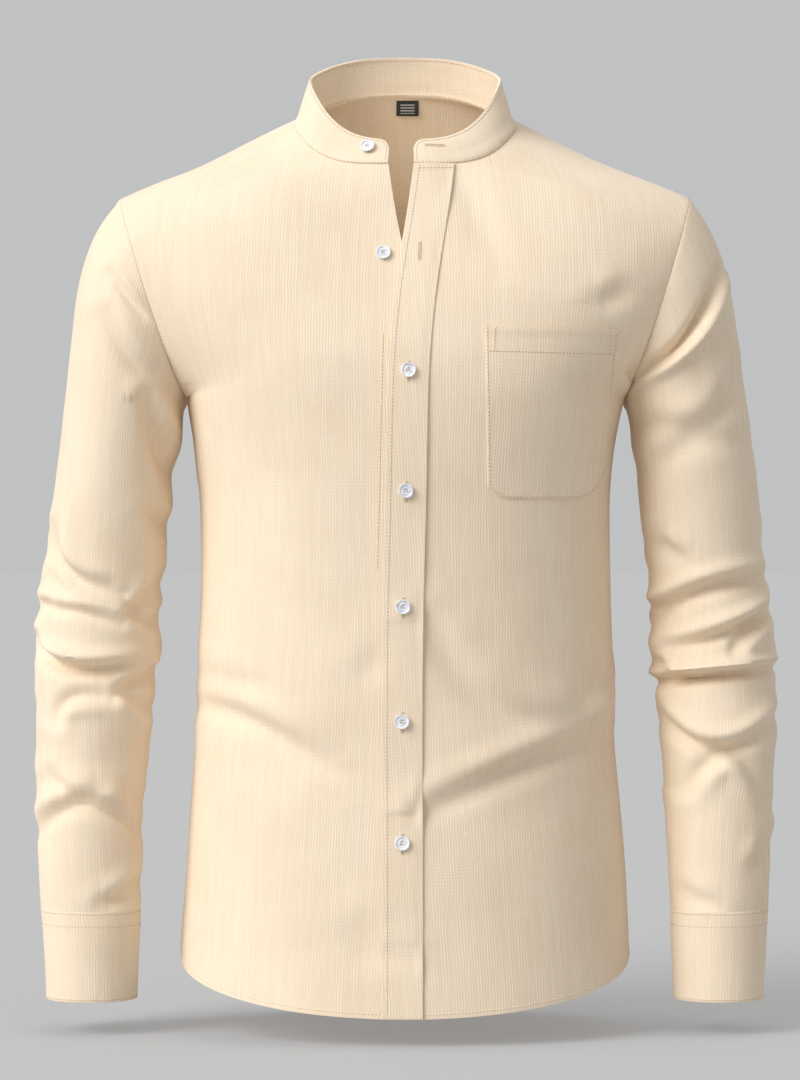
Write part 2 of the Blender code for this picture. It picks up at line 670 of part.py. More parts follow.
def wall_object(panel, thickness, shared, material, collection, lift=0.0, back_off=SEAM / 2):
    """A solid wall: the panel's face, its copy moved inwards, and a rim between the two.

    Lift moves it all outwards, and back_off takes its edges in from its neighbours'.
    """
    normals = panel.normals()
    pulls = panel.inward()
    outer, inner = {}, {}
    sheet = bmesh.new()
    for key, point in panel.points.items():
        own = normals[key]
        common = shared.get(place(point), own)
        agree = float(np.dot(own, common))
        if agree < 0.5:
            common, agree = own, 1.0
        pulled = point + pulls.get(key, 0.0) * back_off + common * lift / agree
        outer[key] = sheet.verts.new(pulled)
        inner[key] = sheet.verts.new(pulled - common * thickness / agree)
    for face in panel.triangles():
        sheet.faces.new([outer[key] for key in face])
        sheet.faces.new([inner[key] for key in face[::-1]])
    for a, b in panel.open_edges():
        if place(panel.points[a]) < place(panel.points[b]):
            rim = (outer[b], outer[a], inner[b]), (outer[a], inner[a], inner[b])
        else:
            rim = (outer[b], outer[a], inner[a]), (outer[b], inner[a], inner[b])
        for corners in rim:
            sheet.faces.new(corners)
    mesh = bpy.data.meshes.new(panel.name)
    sheet.to_mesh(mesh)
    sheet.free()
    mesh.shade_smooth()
    mesh.set_sharp_from_angle(angle=SHARP_EDGE)
    return new_object(panel.name, mesh, material, collection)


def strip_panel(panel, name, columns):
    """The first columns of a front, as a panel of its own."""
    strip = Panel(name)
    strip.faces = [face for face in panel.faces if all(key[1] <= columns for key in face)]
    used = {key for face in strip.faces for key in face}
    strip.points = {key: panel.points[key] for key in used}
    return strip


def pocket_outline():
    """Planes that cut the pocket from the front: a point (x, z) and the way that faces out."""
    inner_way = (-1.0, (POCKET_INNER[0] - POCKET_INNER[1]) / (POCKET_BOTTOM - POCKET_TOP))
    outer_way = (1.0, -(POCKET_OUTER[0] - POCKET_OUTER[1]) / (POCKET_TOP - POCKET_BOTTOM))
    planes = [
        ((POCKET_INNER[0], POCKET_TOP), inner_way),
        ((POCKET_OUTER[0], POCKET_TOP), outer_way),
        ((POCKET_INNER[0], POCKET_TOP), (POCKET_LEAN, 1.0)),
        ((POCKET_INNER[1], POCKET_BOTTOM), (0.0, -1.0)),
    ]
    for x, way in ((POCKET_INNER[1], -1), (POCKET_OUTER[1], 1)):
        middle = (x - way * POCKET_CORNER, POCKET_BOTTOM + POCKET_CORNER)
        for degrees in (22.5, 45.0, 67.5):
            out = (way * math.cos(math.radians(degrees)), -math.sin(math.radians(degrees)))
            touch = (middle[0] + out[0] * POCKET_CORNER, middle[1] + out[1] * POCKET_CORNER)
            planes.append((touch, out))
    return planes


def patch_object(panel, name, planes, lift, thickness, material, collection):
    """A piece that lies on a panel: the panel's faces within some planes, moved out."""
    sheet = bmesh.new()
    verts = {key: sheet.verts.new(point) for key, point in panel.points.items()}
    for face in panel.triangles():
        sheet.faces.new([verts[key] for key in face])
    for (x, z), (way_x, way_z) in planes:
        everything = sheet.verts[:] + sheet.edges[:] + sheet.faces[:]
        bmesh.ops.bisect_plane(
            sheet, geom=everything, dist=1e-6, plane_co=(x, 0.0, z),
            plane_no=(way_x, 0.0, way_z), clear_outer=True,
        )
    bmesh.ops.remove_doubles(sheet, verts=sheet.verts[:], dist=PATCH_MERGE)
    sheet.normal_update()
    normals = {vert: vert.normal.copy() for vert in sheet.verts}
    for vert, normal in normals.items():
        vert.co += normal * lift
    copy = bmesh.ops.duplicate(sheet, geom=sheet.verts[:] + sheet.edges[:] + sheet.faces[:])
    upper = copy["vert_map"]
    for vert, normal in normals.items():
        upper[vert].co += normal * thickness
    rim = [edge for edge in sheet.edges if edge.is_boundary and edge.verts[0] in normals]
    for edge in rim:
        a, b = edge.verts
        sheet.faces.new((a, b, upper[b], upper[a]))
    bmesh.ops.recalc_face_normals(sheet, faces=sheet.faces[:])
    mesh = bpy.data.meshes.new(name)
    sheet.to_mesh(mesh)
    sheet.free()
    mesh.shade_smooth()
    mesh.set_sharp_from_angle(angle=SHARP_EDGE)
    return new_object(name, mesh, material, collection)


def button_mesh():
    """Half section of a button with a raised rim, turned about Z."""
    half = BUTTON_THICK / 2
    profile = (
        (0.0, half * 0.55), (0.0032, half * 0.55), (0.0042, half), (0.0052, half * 0.9),
        (BUTTON_RADIUS, half * 0.2), (0.0046, -half), (0.0, -half),
    )
    mesh = bpy.data.meshes.new("button")
    edges = [(i, i + 1) for i in range(len(profile) - 1)]
    mesh.from_pydata([(x, 0.0, z) for x, z in profile], edges, [])
    return mesh


def add_button(name, where, normal, material, collection):
    """A button whose back lies a gap above the cloth."""
    mesh = button_mesh()
    thing = new_object(name, mesh, material, collection)
    turn = thing.modifiers.new("Turn", "SCREW")
    turn.axis = "Z"
    turn.steps = turn.render_steps = BUTTON_STEPS
    turn.use_merge_vertices = True
    turn.merge_threshold = 0.0001
    turn.use_smooth_shade = True
    normal = Vector(normal).normalized()
    thing.matrix_world = (
        Matrix.Translation(Vector(where) + normal * (BUTTON_THICK / 2 + SEAM))
        @ normal.to_track_quat("Z", "Y").to_matrix().to_4x4()
    )
    return thing


def front_of(thing, x, z, way=1.0):
    """Where a line along Y first meets an object, and the surface's normal there."""
    tree = BVHTree.FromPolygons(
        [vert.co for vert in thing.data.vertices], [face.vertices for face in thing.data.polygons]
    )
    where, normal, _, _ = tree.ray_cast(Vector((x, -way, z)), Vector((0.0, way, 0.0)))
    return where, normal


def label_object(material, collection):
    """A small woven tab on the inner face of the back, just below the collar."""
    upper, lower = NAPE[-1], NAPE[-2]
    slope = np.array((0.0, lower.depth - upper.depth, lower.height - upper.height))
    slope /= np.linalg.norm(slope)
    facing = np.array((0.0, slope[2], -slope[1]))
    top = np.array((LABEL_CENTRE, upper.depth, upper.height)) + facing * (CLOTH + 2 * SEAM)
    label = Panel("neck_label")
    keys = []
    for j in range(3):
        row = []
        for i in range(3):
            across = (i / 2 - 0.5) * LABEL_WIDTH
            down = slope * (LABEL_DROP + LABEL_HEIGHT * j / 2)
            curl = facing * 0.0004 * (j / 2) ** 2 + facing * 4.0 * across ** 2
            label.points[j, i] = top + np.array((across, 0.0, 0.0)) + down + curl
            row.append((j, i))
        keys.append(row)
    label.add_grid(keys, turn=True)
    return wall_object(label, LABEL_CLOTH, {}, material, collection, lift=LABEL_CLOTH)


# ---------------------------------------------------------------- the shirt


def build():
    clear_scene()
    parts = bpy.data.collections.new("mandarin_collar_shirt")
    bpy.context.scene.collection.children.link(parts)
    cloth = principled("cream_cloth", CREAM, 0.9)
    pearl = principled("pearl_button", PEARL, 0.25)
    woven = principled("label_black", LABEL_BLACK, 0.8)

    fronts = {side: front_panel(side) for side in (LEFT, RIGHT)}
    sleeves = {side: sleeve_panel(side) for side in (LEFT, RIGHT)}
    cuffs = {side: cuff_panel(side) for side in (LEFT, RIGHT)}
    collar = collar_panel()
    body = [*fronts.values(), *sleeves.values(), *back_panels()]
    press_folds(body)
    shared = shared_normals(body + [collar])
    placket = strip_panel(fronts[LEFT], "placket", BAND_COLUMNS)
    tuck_under(fronts[RIGHT])

    walls = {}
    for panel in body:
        walls[panel.name] = wall_object(panel, CLOTH, shared, cloth, parts)
    walls["collar"] = wall_object(collar, COLLAR_CLOTH, shared, cloth, parts, back_off=SEAM)
    for side, cuff in cuffs.items():
        band = wall_object(cuff, CUFF_CLOTH, {}, cloth, parts)
        x = side * CUFF_BUTTON_X
        name = cuff.name.replace("cuff", "button_cuff")
        add_button(name, *front_of(band, x, CUFF_BUTTON_HEIGHT, way=-1.0), pearl, parts)
    walls["placket"] = wall_object(
        placket, BAND_CLOTH, {}, cloth, parts, lift=BAND_CLOTH + SEAM
    )
    patch_object(fronts[LEFT], "pocket", pocket_outline(), SEAM, BAND_CLOTH, cloth, parts)
    label_object(woven, parts)

    add_button("button_neck", *front_of(walls["collar"], *NECK_BUTTON), pearl, parts)
    add_button("button_1", *front_of(walls["front_right"], *OPEN_BUTTON), pearl, parts)
    for i, height in enumerate(PLACKET_BUTTONS):
        x = read_table(FRONT_LINES, "left", height)
        add_button(f"button_{i + 2}", *front_of(walls["placket"], x, height), pearl, parts)


build()
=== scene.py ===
# %% [markdown]
# # A mandarin collar shirt, filled out as it is worn
# The sewn pieces are already there as plain walls at their true size. This lesson turns each
# wall into cloth: its outer face is made fine, creased, given a thread's thickness and a weave.
# Then come the stitches, buttons, buttonholes and neck label, and last the light and floor.

# %% The frame
import math
from collections import namedtuple

import bmesh
import bpy
import numpy as np
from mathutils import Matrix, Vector, noise
from mathutils.bvhtree import BVHTree
from mathutils.kdtree import KDTree


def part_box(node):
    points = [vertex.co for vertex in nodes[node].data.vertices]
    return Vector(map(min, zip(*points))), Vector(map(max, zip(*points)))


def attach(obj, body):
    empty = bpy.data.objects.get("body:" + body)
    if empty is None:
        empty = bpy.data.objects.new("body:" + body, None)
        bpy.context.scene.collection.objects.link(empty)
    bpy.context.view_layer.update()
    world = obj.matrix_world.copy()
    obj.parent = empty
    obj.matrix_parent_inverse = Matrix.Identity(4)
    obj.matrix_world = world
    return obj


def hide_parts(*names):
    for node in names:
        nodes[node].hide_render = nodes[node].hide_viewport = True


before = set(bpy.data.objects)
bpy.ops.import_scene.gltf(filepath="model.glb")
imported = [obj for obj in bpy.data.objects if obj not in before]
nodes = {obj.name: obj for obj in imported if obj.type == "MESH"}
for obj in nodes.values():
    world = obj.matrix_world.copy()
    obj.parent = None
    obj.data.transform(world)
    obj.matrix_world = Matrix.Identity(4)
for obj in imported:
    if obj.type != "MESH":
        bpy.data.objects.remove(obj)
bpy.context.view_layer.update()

MM = 0.001
print("pieces in the frame:", ", ".join(sorted(nodes)))

# %% [markdown]
# ## Camera
# The camera stands level in front of the shirt, three metres away with a long lens, so the
# garment looks as flat-on as in a catalogue.

# %% Camera
eye = bpy.data.cameras.new("camera")
eye.lens = 128.2
eye.sensor_width = 36
camera = bpy.data.objects.new("camera", eye)
bpy.context.scene.collection.objects.link(camera)
camera.location = (-4 * MM, -3.0, -322 * MM)
camera.rotation_euler = (math.radians(90), 0, 0)
bpy.context.scene.camera = camera
print(f"camera: {-camera.location.y:.1f} m away, lens {eye.lens:.0f} mm")

# %% [markdown]
# ## Taking up a piece
# A maker starts from a cut panel. Here the panel is the outer face of a wall. One face on that
# side is selected, the selection grows over all that joins it without a sharp bend, and the
# rest, the inside and the rim, is deleted. A small gap that this leaves is filled. Pairs of
# triangles are then joined into four-sided faces, because Subdivision Surface rounds those
# evenly.


# %% Helpers for selecting and taking up a panel
def pick(*pieces):
    """Selects only these pieces, the last one active."""
    bpy.ops.object.select_all(action="DESELECT")
    for piece in pieces:
        piece.select_set(True)
    bpy.context.view_layer.objects.active = pieces[-1]


SKIN_BEND = math.radians(55)
SAME_POINT = 0.03 * MM
SMALL_HOLE = 8  # sides of a gap that the selection may leave within a panel


def take_up(node, outside):
    """The outer face of a packed wall, as a new piece of four-sided faces."""
    source = nodes[node]
    piece = bpy.data.objects.new(f"cloth_{node}", source.data.copy())
    piece.data.materials.clear()
    bpy.context.scene.collection.objects.link(piece)
    pick(piece)
    bpy.ops.object.mode_set(mode="EDIT")
    bpy.ops.mesh.select_mode(type="FACE")
    bpy.ops.mesh.select_all(action="SELECT")
    bpy.ops.mesh.remove_doubles(threshold=SAME_POINT)
    bpy.ops.mesh.select_all(action="DESELECT")
    skin = bmesh.from_edit_mesh(piece.data).faces
    way = Vector(outside)
    facing = [face for face in skin if face.normal.dot(way) > 0.5]
    max(facing, key=lambda face: face.calc_center_median().dot(way)).select = True
    bpy.ops.mesh.faces_select_linked_flat(sharpness=SKIN_BEND)
    bpy.ops.mesh.select_all(action="INVERT")
    bpy.ops.mesh.delete(type="FACE")
    bpy.ops.mesh.select_all(action="SELECT")
    bpy.ops.mesh.fill_holes(sides=SMALL_HOLE)
    bpy.ops.mesh.select_all(action="SELECT")
    bpy.ops.mesh.tris_convert_to_quads(
        face_threshold=math.pi, shape_threshold=math.pi, topology_influence=1.0
    )
    bpy.ops.object.mode_set(mode="OBJECT")
    return piece


# %% [markdown]
# ## Letting out the edges
# The walls end a hair short of each other at every seam. Sewn cloth has no such slit, so each
# edge is let out sideways, square to itself and along the cloth, until neighbours touch.

# %% Letting out the edges
SEAM_SHARE = 0.19 * MM  # each neighbour's share of a seam's gap, and a hair more
CUFF_SHARE = 0.30 * MM


def let_out(piece, share):
    """Moves a panel's edges outwards, so that neighbours meet at their seam."""
    mesh = bmesh.new()
    mesh.from_mesh(piece.data)
    moves = {}
    for edge in mesh.edges:
        if edge.is_boundary:
            loop = edge.link_loops[0]
            along = loop.link_loop_next.vert.co - loop.vert.co
            out = along.cross(loop.face.normal).normalized()
            for vert in edge.verts:
                moves.setdefault(vert, []).append(out)
    for vert, ways in moves.items():
        total = sum(ways, Vector())
        vert.co += total * share / max(total.length_squared / len(ways), 0.5)
    mesh.to_mesh(piece.data)
    mesh.free()


# %% [markdown]
# ## Flat pattern
# Cloth has a grain, and its ribs follow it. Unwrapping a panel flat gives its paper pattern.
# The pattern is turned until its height follows the garment's, and scaled so that one unit
# is one metre, so the weave has its true size on every piece.


# %% Flat pattern
def cut_under_arm(piece, side):
    """Marks the seam under a sleeve, from the armpit down to the cuff."""
    mesh = bmesh.new()
    mesh.from_mesh(piece.data)
    ends = [vert for vert in mesh.verts if vert.is_boundary]
    middle = sum(vert.co.z for vert in ends) / len(ends)
    spot = min((vert for vert in ends if vert.co.z > middle), key=lambda vert: side * vert.co.x)
    down = True
    while down:
        ways = [edge for edge in spot.link_edges if edge.other_vert(spot).co.z < spot.co.z]
        ways = [edge for edge in ways if not edge.is_boundary]
        down = min(ways, key=lambda edge: edge.other_vert(spot).co.z, default=None)
        if down:
            down.seam = True
            spot = down.other_vert(spot)
    mesh.to_mesh(piece.data)
    mesh.free()


def corners_of(piece):
    """Where each corner of each face lies, and the corner's place on the flat pattern."""
    mesh = piece.data
    where = np.array([mesh.vertices[loop.vertex_index].co for loop in mesh.loops])
    flat = np.zeros(len(mesh.loops) * 2)
    mesh.uv_layers.active.data.foreach_get("uv", flat)
    return where, flat.reshape(-1, 2)


def lay_flat(piece):
    """Unwraps a piece, its height up and at its true size, and gives its width and length."""
    pick(piece)
    bpy.ops.object.mode_set(mode="EDIT")
    bpy.ops.mesh.select_all(action="SELECT")
    bpy.ops.uv.unwrap(method="ANGLE_BASED", fill_holes=False, margin=0.0)
    bpy.ops.object.mode_set(mode="OBJECT")
    where, flat = corners_of(piece)
    flat = flat - flat.mean(axis=0)
    up = np.linalg.lstsq(flat, where[:, 2] - where[:, 2].mean(), rcond=None)[0]
    up /= np.linalg.norm(up)
    flat = np.stack((flat @ (up[1], -up[0]), flat @ up), axis=1)
    paper = 0.0
    for face in piece.data.polygons:
        corners = flat[list(face.loop_indices)]
        after = np.roll(corners, -1, axis=0)
        paper += abs((corners[:, 0] * after[:, 1] - corners[:, 1] * after[:, 0]).sum()) / 2
    flat *= math.sqrt(sum(face.area for face in piece.data.polygons) / paper)
    piece.data.uv_layers.active.data.foreach_set("uv", flat.ravel())
    return flat.max(axis=0) - flat.min(axis=0)


NECK_MIDDLE_Y = -5 * MM
NECK_RADIUS = 68 * MM


def lay_round_neck(piece):
    """The collar's pattern: a straight band, its ribs square to it all the way round."""
    if not piece.data.uv_layers:
        piece.data.uv_layers.new(name="UVMap")
    where, flat = corners_of(piece)
    flat[:, 0] = np.arctan2(where[:, 0], NECK_MIDDLE_Y - where[:, 1]) * NECK_RADIUS
    flat[:, 1] = where[:, 2]
    for face in piece.data.polygons:
        span = list(face.loop_indices)
        across = flat[span, 0]
        if across.max() - across.min() > NECK_RADIUS * math.pi:
            flat[span, 0] = np.where(across < 0, across + NECK_RADIUS * math.tau, across)
    piece.data.uv_layers.active.data.foreach_set("uv", flat.ravel())
    sides = edge_runs(piece)
    spots = [vert.co for vert in piece.data.vertices]
    lengths = [sum((spots[b] - spots[a]).length for a, b in zip(run, run[1:])) for run in sides]
    area = sum(face.area for face in piece.data.polygons)
    return np.array((max(lengths), area / max(lengths)))


# %% [markdown]
# ## Creases
# A crease is a bowed line with a soft trough along it and a lip of raised cloth on one side.
# The rows give each one's two ends and its middle, seen from the front, in millimetres, and
# its width and depth. A positive lip lies above the line, a negative one below it.

# %% Tables of creases
Crease = namedtuple("Crease", "start middle end width depth lip")

FRONT_CREASES = [Crease(*row) for row in (
    # body, wearer's right
    ((-164, -449), (-118, -460), (-60, -494), 9, 3.4, 0.5),
    ((-162, -426), (-134, -431), (-104, -435), 10, 1.6, 0.5),
    ((-18, -405), (-26, -417), (-38, -430), 12, 1.0, 0.4),
    ((-48, -623), (-32, -620), (-16, -623), 14, 1.4, 0.5),
    ((-44, -642), (-15, -634), (14, -644), 10, 1.0, 0.3),
    # body, wearer's left
    ((17, -383), (62, -443), (132, -463), 11, 2.6, 0.5),
    ((160, -436), (152, -447), (138, -460), 9, -3.0, 0.4),
    ((142, -476), (92, -492), (12, -527), 9, 4.2, 0.6),
    ((38, -40), (54, -76), (73, -114), 13, 1.8, 0.3),
    ((146, -142), (157, -139), (170, -133), 9, 2.2, 0.5),
    # wearer's right sleeve
    ((-225, -116), (-213, -135), (-198, -152), 5, 1.6, 0.6),
    ((-229, -150), (-210, -184), (-184, -202), 10, 2.2, 0.5),
    ((-198, -213), (-190, -243), (-178, -279), 9, 3.6, 0.7),
    ((-196, -300), (-187, -308), (-179, -322), 9, 3.0, 0.5),
    ((-273, -312), (-262, -344), (-228, -359), 8, 3.2, 0.7),
    ((-273, -347), (-268, -356), (-260, -365), 5, 1.6, 0.6),
    ((-286, -368), (-279, -370), (-271, -369), 5, 1.8, 0.7),
    ((-187, -349), (-204, -371), (-212, -378), 7, 3.0, 0.6),
    ((-187, -391), (-202, -383), (-212, -378), 7, 2.4, -0.5),
    ((-284, -375), (-250, -377), (-220, -386), 6, 2.4, 0.7),
    ((-288, -397), (-262, -419), (-202, -417), 7, 5.2, 0.8),
    ((-189, -423), (-208, -431), (-218, -436), 7, 3.0, 0.6),
    ((-193, -457), (-206, -447), (-217, -437), 7, 2.6, -0.6),
    ((-268, -462), (-258, -444), (-226, -443), 8, 2.6, -0.6),
    ((-273, -504), (-256, -516), (-234, -515), 9, 3.0, 0.6),
    ((-216, -519), (-205, -527), (-199, -540), 11, 2.8, 0.4),
    ((-284, -549), (-248, -524), (-200, -549), 8, 3.8, 0.7),
    ((-231, -600), (-216, -594), (-202, -583), 8, 3.2, 0.5),
    # wearer's left sleeve
    ((174, -195), (215, -167), (242, -115), 6, 4.6, -0.7),
    ((180, -231), (230, -232), (258, -192), 12, 2.6, 0.5),
    ((193, -266), (220, -247), (262, -245), 12, 2.2, 0.5),
    ((192, -321), (202, -330), (214, -338), 9, 2.2, 0.5),
    ((187, -385), (226, -361), (280, -351), 8, 4.0, 0.7),
    ((188, -375), (193, -372), (199, -368), 5, 2.0, 0.5),
    ((202, -405), (250, -392), (287, -374), 7, 3.6, 0.7),
    ((251, -407), (261, -395), (281, -379), 7, 3.0, -0.5),
    ((190, -432), (226, -427), (289, -421), 6, 5.4, 0.9),
    ((188, -413), (199, -420), (212, -427), 7, 2.8, 0.5),
    ((192, -452), (238, -482), (291, -457), 8, 3.8, 0.6),
    ((215, -514), (250, -486), (281, -530), 9, 3.2, -0.6),
    ((269, -572), (275, -562), (279, -550), 8, 2.4, 0.5),
    ((212, -590), (224, -598), (240, -602), 8, 1.8, 0.5),
)]

BACK_CREASES = [Crease(*row) for row in (
    # body
    ((-160, -452), (-104, -470), (-36, -500), 10, 3.6, 0.6),
    ((-158, -424), (-110, -436), (-60, -462), 11, 2.6, 0.5),
    ((162, -440), (110, -464), (44, -486), 10, 4.0, 0.6),
    ((160, -478), (118, -492), (70, -520), 11, 3.0, 0.5),
    ((-30, -396), (6, -414), (46, -410), 13, 1.8, 0.4),
    ((-176, -196), (-150, -176), (-134, -140), 12, 2.6, 0.5),
    ((178, -190), (150, -168), (138, -128), 12, 2.4, 0.5),
    ((-40, -610), (4, -622), (52, -616), 14, 1.6, 0.4),
    # wearer's right sleeve
    ((-232, -150), (-214, -182), (-190, -204), 10, 2.4, 0.5),
    ((-186, -270), (-214, -286), (-244, -282), 11, 2.4, 0.5),
    ((-280, -330), (-240, -352), (-196, -352), 9, 3.4, 0.6),
    ((-284, -372), (-240, -386), (-192, -378), 7, 4.4, 0.8),
    ((-286, -410), (-244, -428), (-194, -416), 8, 4.8, 0.7),
    ((-284, -448), (-250, -456), (-212, -450), 8, 3.2, 0.6),
    ((-278, -500), (-246, -516), (-206, -504), 9, 3.0, 0.6),
    ((-276, -548), (-246, -538), (-210, -552), 9, 2.8, -0.5),
    # wearer's left sleeve
    ((230, -146), (212, -178), (188, -200), 10, 2.6, 0.5),
    ((184, -262), (216, -280), (250, -272), 11, 2.4, 0.5),
    ((276, -322), (236, -346), (194, -344), 9, 3.6, 0.6),
    ((286, -366), (244, -376), (194, -390), 7, 4.2, 0.8),
    ((288, -414), (246, -424), (196, -434), 8, 5.0, 0.7),
    ((286, -456), (250, -470), (204, -462), 8, 3.4, 0.6),
    ((280, -506), (248, -498), (212, -514), 9, 3.0, -0.5),
    ((276, -556), (248, -566), (218, -556), 9, 2.4, 0.5),
)]
print(len(FRONT_CREASES), "creases in front and", len(BACK_CREASES), "behind")


# %% Shape of a crease
CREASE_STEPS = 14
BODY_DEPTH = 1.7  # how much deeper a crease of the table is made on the body
SLEEVE_DEPTH = 2.4
SLEEVE_WIDTH = 0.74  # creases are sharper on the sleeves
SLEEVE_FROM = 178 * MM  # creases farther out than this are on a sleeve
LIP_AWAY = 1.6  # the raised lip's distance and width, in crease widths
LIP_WIDTH = 1.2


def smooth(share):
    share = np.clip(share, 0.0, 1.0)
    return share * share * (3 - 2 * share)


def crease_rise(crease, x, z):
    """How far one crease lifts the cloth at points seen from the front, in metres."""
    ends_and_middle = (crease.start, crease.middle, crease.end)
    start, middle, end = (np.array(point) * MM for point in ends_and_middle)
    bend = 2 * middle - (start + end) / 2
    shares = np.linspace(0, 1, CREASE_STEPS)[:, None]
    line = start * (1 - shares) ** 2 + 2 * bend * shares * (1 - shares) + end * shares ** 2
    nearest = np.full(len(x), 9.0)
    side = np.zeros(len(x))
    along = np.zeros(len(x))
    for i in range(CREASE_STEPS - 1):
        way = line[i + 1] - line[i]
        to_x, to_z = x - line[i, 0], z - line[i, 1]
        share = np.clip((to_x * way[0] + to_z * way[1]) / (way @ way), 0, 1)
        off_x, off_z = to_x - share * way[0], to_z - share * way[1]
        distance = np.hypot(off_x, off_z)
        closer = distance < nearest
        nearest = np.where(closer, distance, nearest)
        side = np.where(closer, np.sign(off_z), side)
        along = np.where(closer, (i + share) / (CREASE_STEPS - 1), along)
    on_sleeve = abs(middle[0]) > SLEEVE_FROM
    width = crease.width * MM * (SLEEVE_WIDTH if on_sleeve else 1)
    fade = np.sin(np.pi * np.clip(0.06 + 0.88 * along, 0, 1)) ** 0.7
    trough = np.exp(-((nearest / width) ** 2))
    from_lip = nearest * side * np.sign(crease.lip) - LIP_AWAY * width
    lip = abs(crease.lip) * np.exp(-((from_lip / (LIP_WIDTH * width)) ** 2))
    return (SLEEVE_DEPTH if on_sleeve else BODY_DEPTH) * crease.depth * MM * fade * (lip - trough)


# %% [markdown]
# ## From panel to cloth
# Subdivision Surface rounds a panel, then every point moves along its normal by what the
# creases and a faint unevenness say. Seams hold cloth still, so the movement fades to nothing
# beside them, while hems and front edges stay free. Cloth simulation could drape a panel too,
# but it wouldn't put each crease where it is wanted.

# %% Points, edges and modifiers
CORNER = math.radians(40)  # an edge that turns by more than this has a corner there


def apply_modifier(piece, kind, **settings):
    pick(piece)
    modifier = piece.modifiers.new(kind.title(), kind)
    for name, value in settings.items():
        setattr(modifier, name, value)
    bpy.ops.object.modifier_apply(modifier=modifier.name)


def make_fine(piece, levels):
    apply_modifier(
        piece, "SUBSURF", levels=levels, render_levels=levels, boundary_smooth="PRESERVE_CORNERS"
    )


def round_edges(piece, width, segments, bend):
    """Bevels the edges that turn by more than a bend in degrees."""
    apply_modifier(
        piece, "BEVEL", width=width, segments=segments, limit_method="ANGLE",
        angle_limit=math.radians(bend),
    )


def points_of(piece):
    count = len(piece.data.vertices)
    where, normal = np.zeros(count * 3), np.zeros(count * 3)
    piece.data.vertices.foreach_get("co", where)
    piece.data.vertex_normals.foreach_get("vector", normal)
    return where.reshape(-1, 3), normal.reshape(-1, 3)


def move_points(piece, where):
    piece.data.vertices.foreach_set("co", where.ravel())
    piece.data.update()


def edge_runs(piece):
    """Runs of points along a panel's edges, one for each side between sharp corners."""
    mesh = bmesh.new()
    mesh.from_mesh(piece.data)
    mesh.verts.ensure_lookup_table()
    after = {}
    for edge in mesh.edges:
        if edge.is_boundary:
            loop = edge.link_loops[0]
            after[loop.vert.index] = loop.link_loop_next.vert.index
    runs = []
    while after:
        ring = [next(iter(after))]
        while ring[-1] in after:
            ring.append(after.pop(ring[-1]))
        ring.pop()
        ways = [
            (mesh.verts[ring[(i + 1) % len(ring)]].co - mesh.verts[ring[i]].co).normalized()
            for i in range(len(ring))
        ]
        turns = [i for i in range(len(ring)) if ways[i - 1].dot(ways[i]) < math.cos(CORNER)]
        for n, start in enumerate(turns):
            stop = turns[(n + 1) % len(turns)]
            stop += len(ring) if stop <= start else 0
            runs.append([ring[i % len(ring)] for i in range(start, stop + 1)])
        if not turns:
            runs.append(ring + ring[:1])
    mesh.free()
    return runs


def farthest(piece, runs, way):
    """The side of a panel whose middle lies farthest in a direction."""
    where, _ = points_of(piece)
    return max(runs, key=lambda run: float(where[run].mean(axis=0) @ np.array(way)))


# %% Creasing a panel
HOLD = 8 * MM  # how far from a seam the cloth is held still
UNEVEN = 0.8 * MM
BROAD_WAVES, SMALL_WAVES = 14, 38
SMALL_SHARE = 0.35


def tree_of(spots):
    """A tree that finds the nearest of some numbered points."""
    tree = KDTree(len(spots))
    for i, spot in spots.items():
        tree.insert(spot, i)
    tree.balance()
    return tree


def seam_hold(piece, free_ways):
    """0 at a panel's sewn sides, growing to 1 away from them."""
    where, _ = points_of(piece)
    runs = edge_runs(piece)
    free = [farthest(piece, runs, way) for way in free_ways]
    held = {i: where[i] for run in runs if run not in free for i in run}
    if not held:
        return np.ones(len(where))
    tree = tree_of(held)
    return smooth(np.array([tree.find(point)[2] for point in where]) / HOLD)


def crease_cloth(piece, hold, proud=0.0):
    """Moves a fine panel's points along their normals, by its creases and a faint unevenness."""
    where, normal = points_of(piece)
    rise = np.full(len(where), proud)
    for creases, facing in ((FRONT_CREASES, -normal[:, 1]), (BACK_CREASES, normal[:, 1])):
        strength = smooth(0.5 + 1.1 * facing)
        for crease in creases:
            rise += crease_rise(crease, where[:, 0], where[:, 2]) * strength
    for i, point in enumerate(where):
        spot = Vector(point)
        small = SMALL_SHARE * noise.noise(spot * SMALL_WAVES)
        rise[i] += UNEVEN * (noise.noise(spot * BROAD_WAVES) + small)
    move_points(piece, where + normal * (rise * hold)[:, None])


# %% [markdown]
# ## The cloth
# It is a light crepe with a linen look: cream, with ribs along the grain about two millimetres
# apart and fainter threads across. Two wave patterns on the flat pattern make them, bent by
# noise so that they wander as real threads do, and patchy noise lets them fade in and out.
# They darken the colour a little and raise a bump. Sheen gives the soft glow of brushed yarn.

# %% Helpers for materials
def shader_nodes(name):
    material = bpy.data.materials.new(name)
    material.use_nodes = True
    tree = material.node_tree
    return material, tree, tree.nodes["Principled BSDF"]


def add(tree, kind, inputs, **settings):
    """Adds a node, and gives its inputs a value or a link."""
    node = tree.nodes.new(kind)
    for key, value in settings.items():
        setattr(node, key, value)
    for key, value in inputs.items():
        if isinstance(value, bpy.types.NodeSocket):
            tree.links.new(value, node.inputs[key])
        else:
            node.inputs[key].default_value = value
    return node


def arithmetic(tree, operation, a, b):
    return add(tree, "ShaderNodeMath", {0: a, 1: b}, operation=operation).outputs[0]


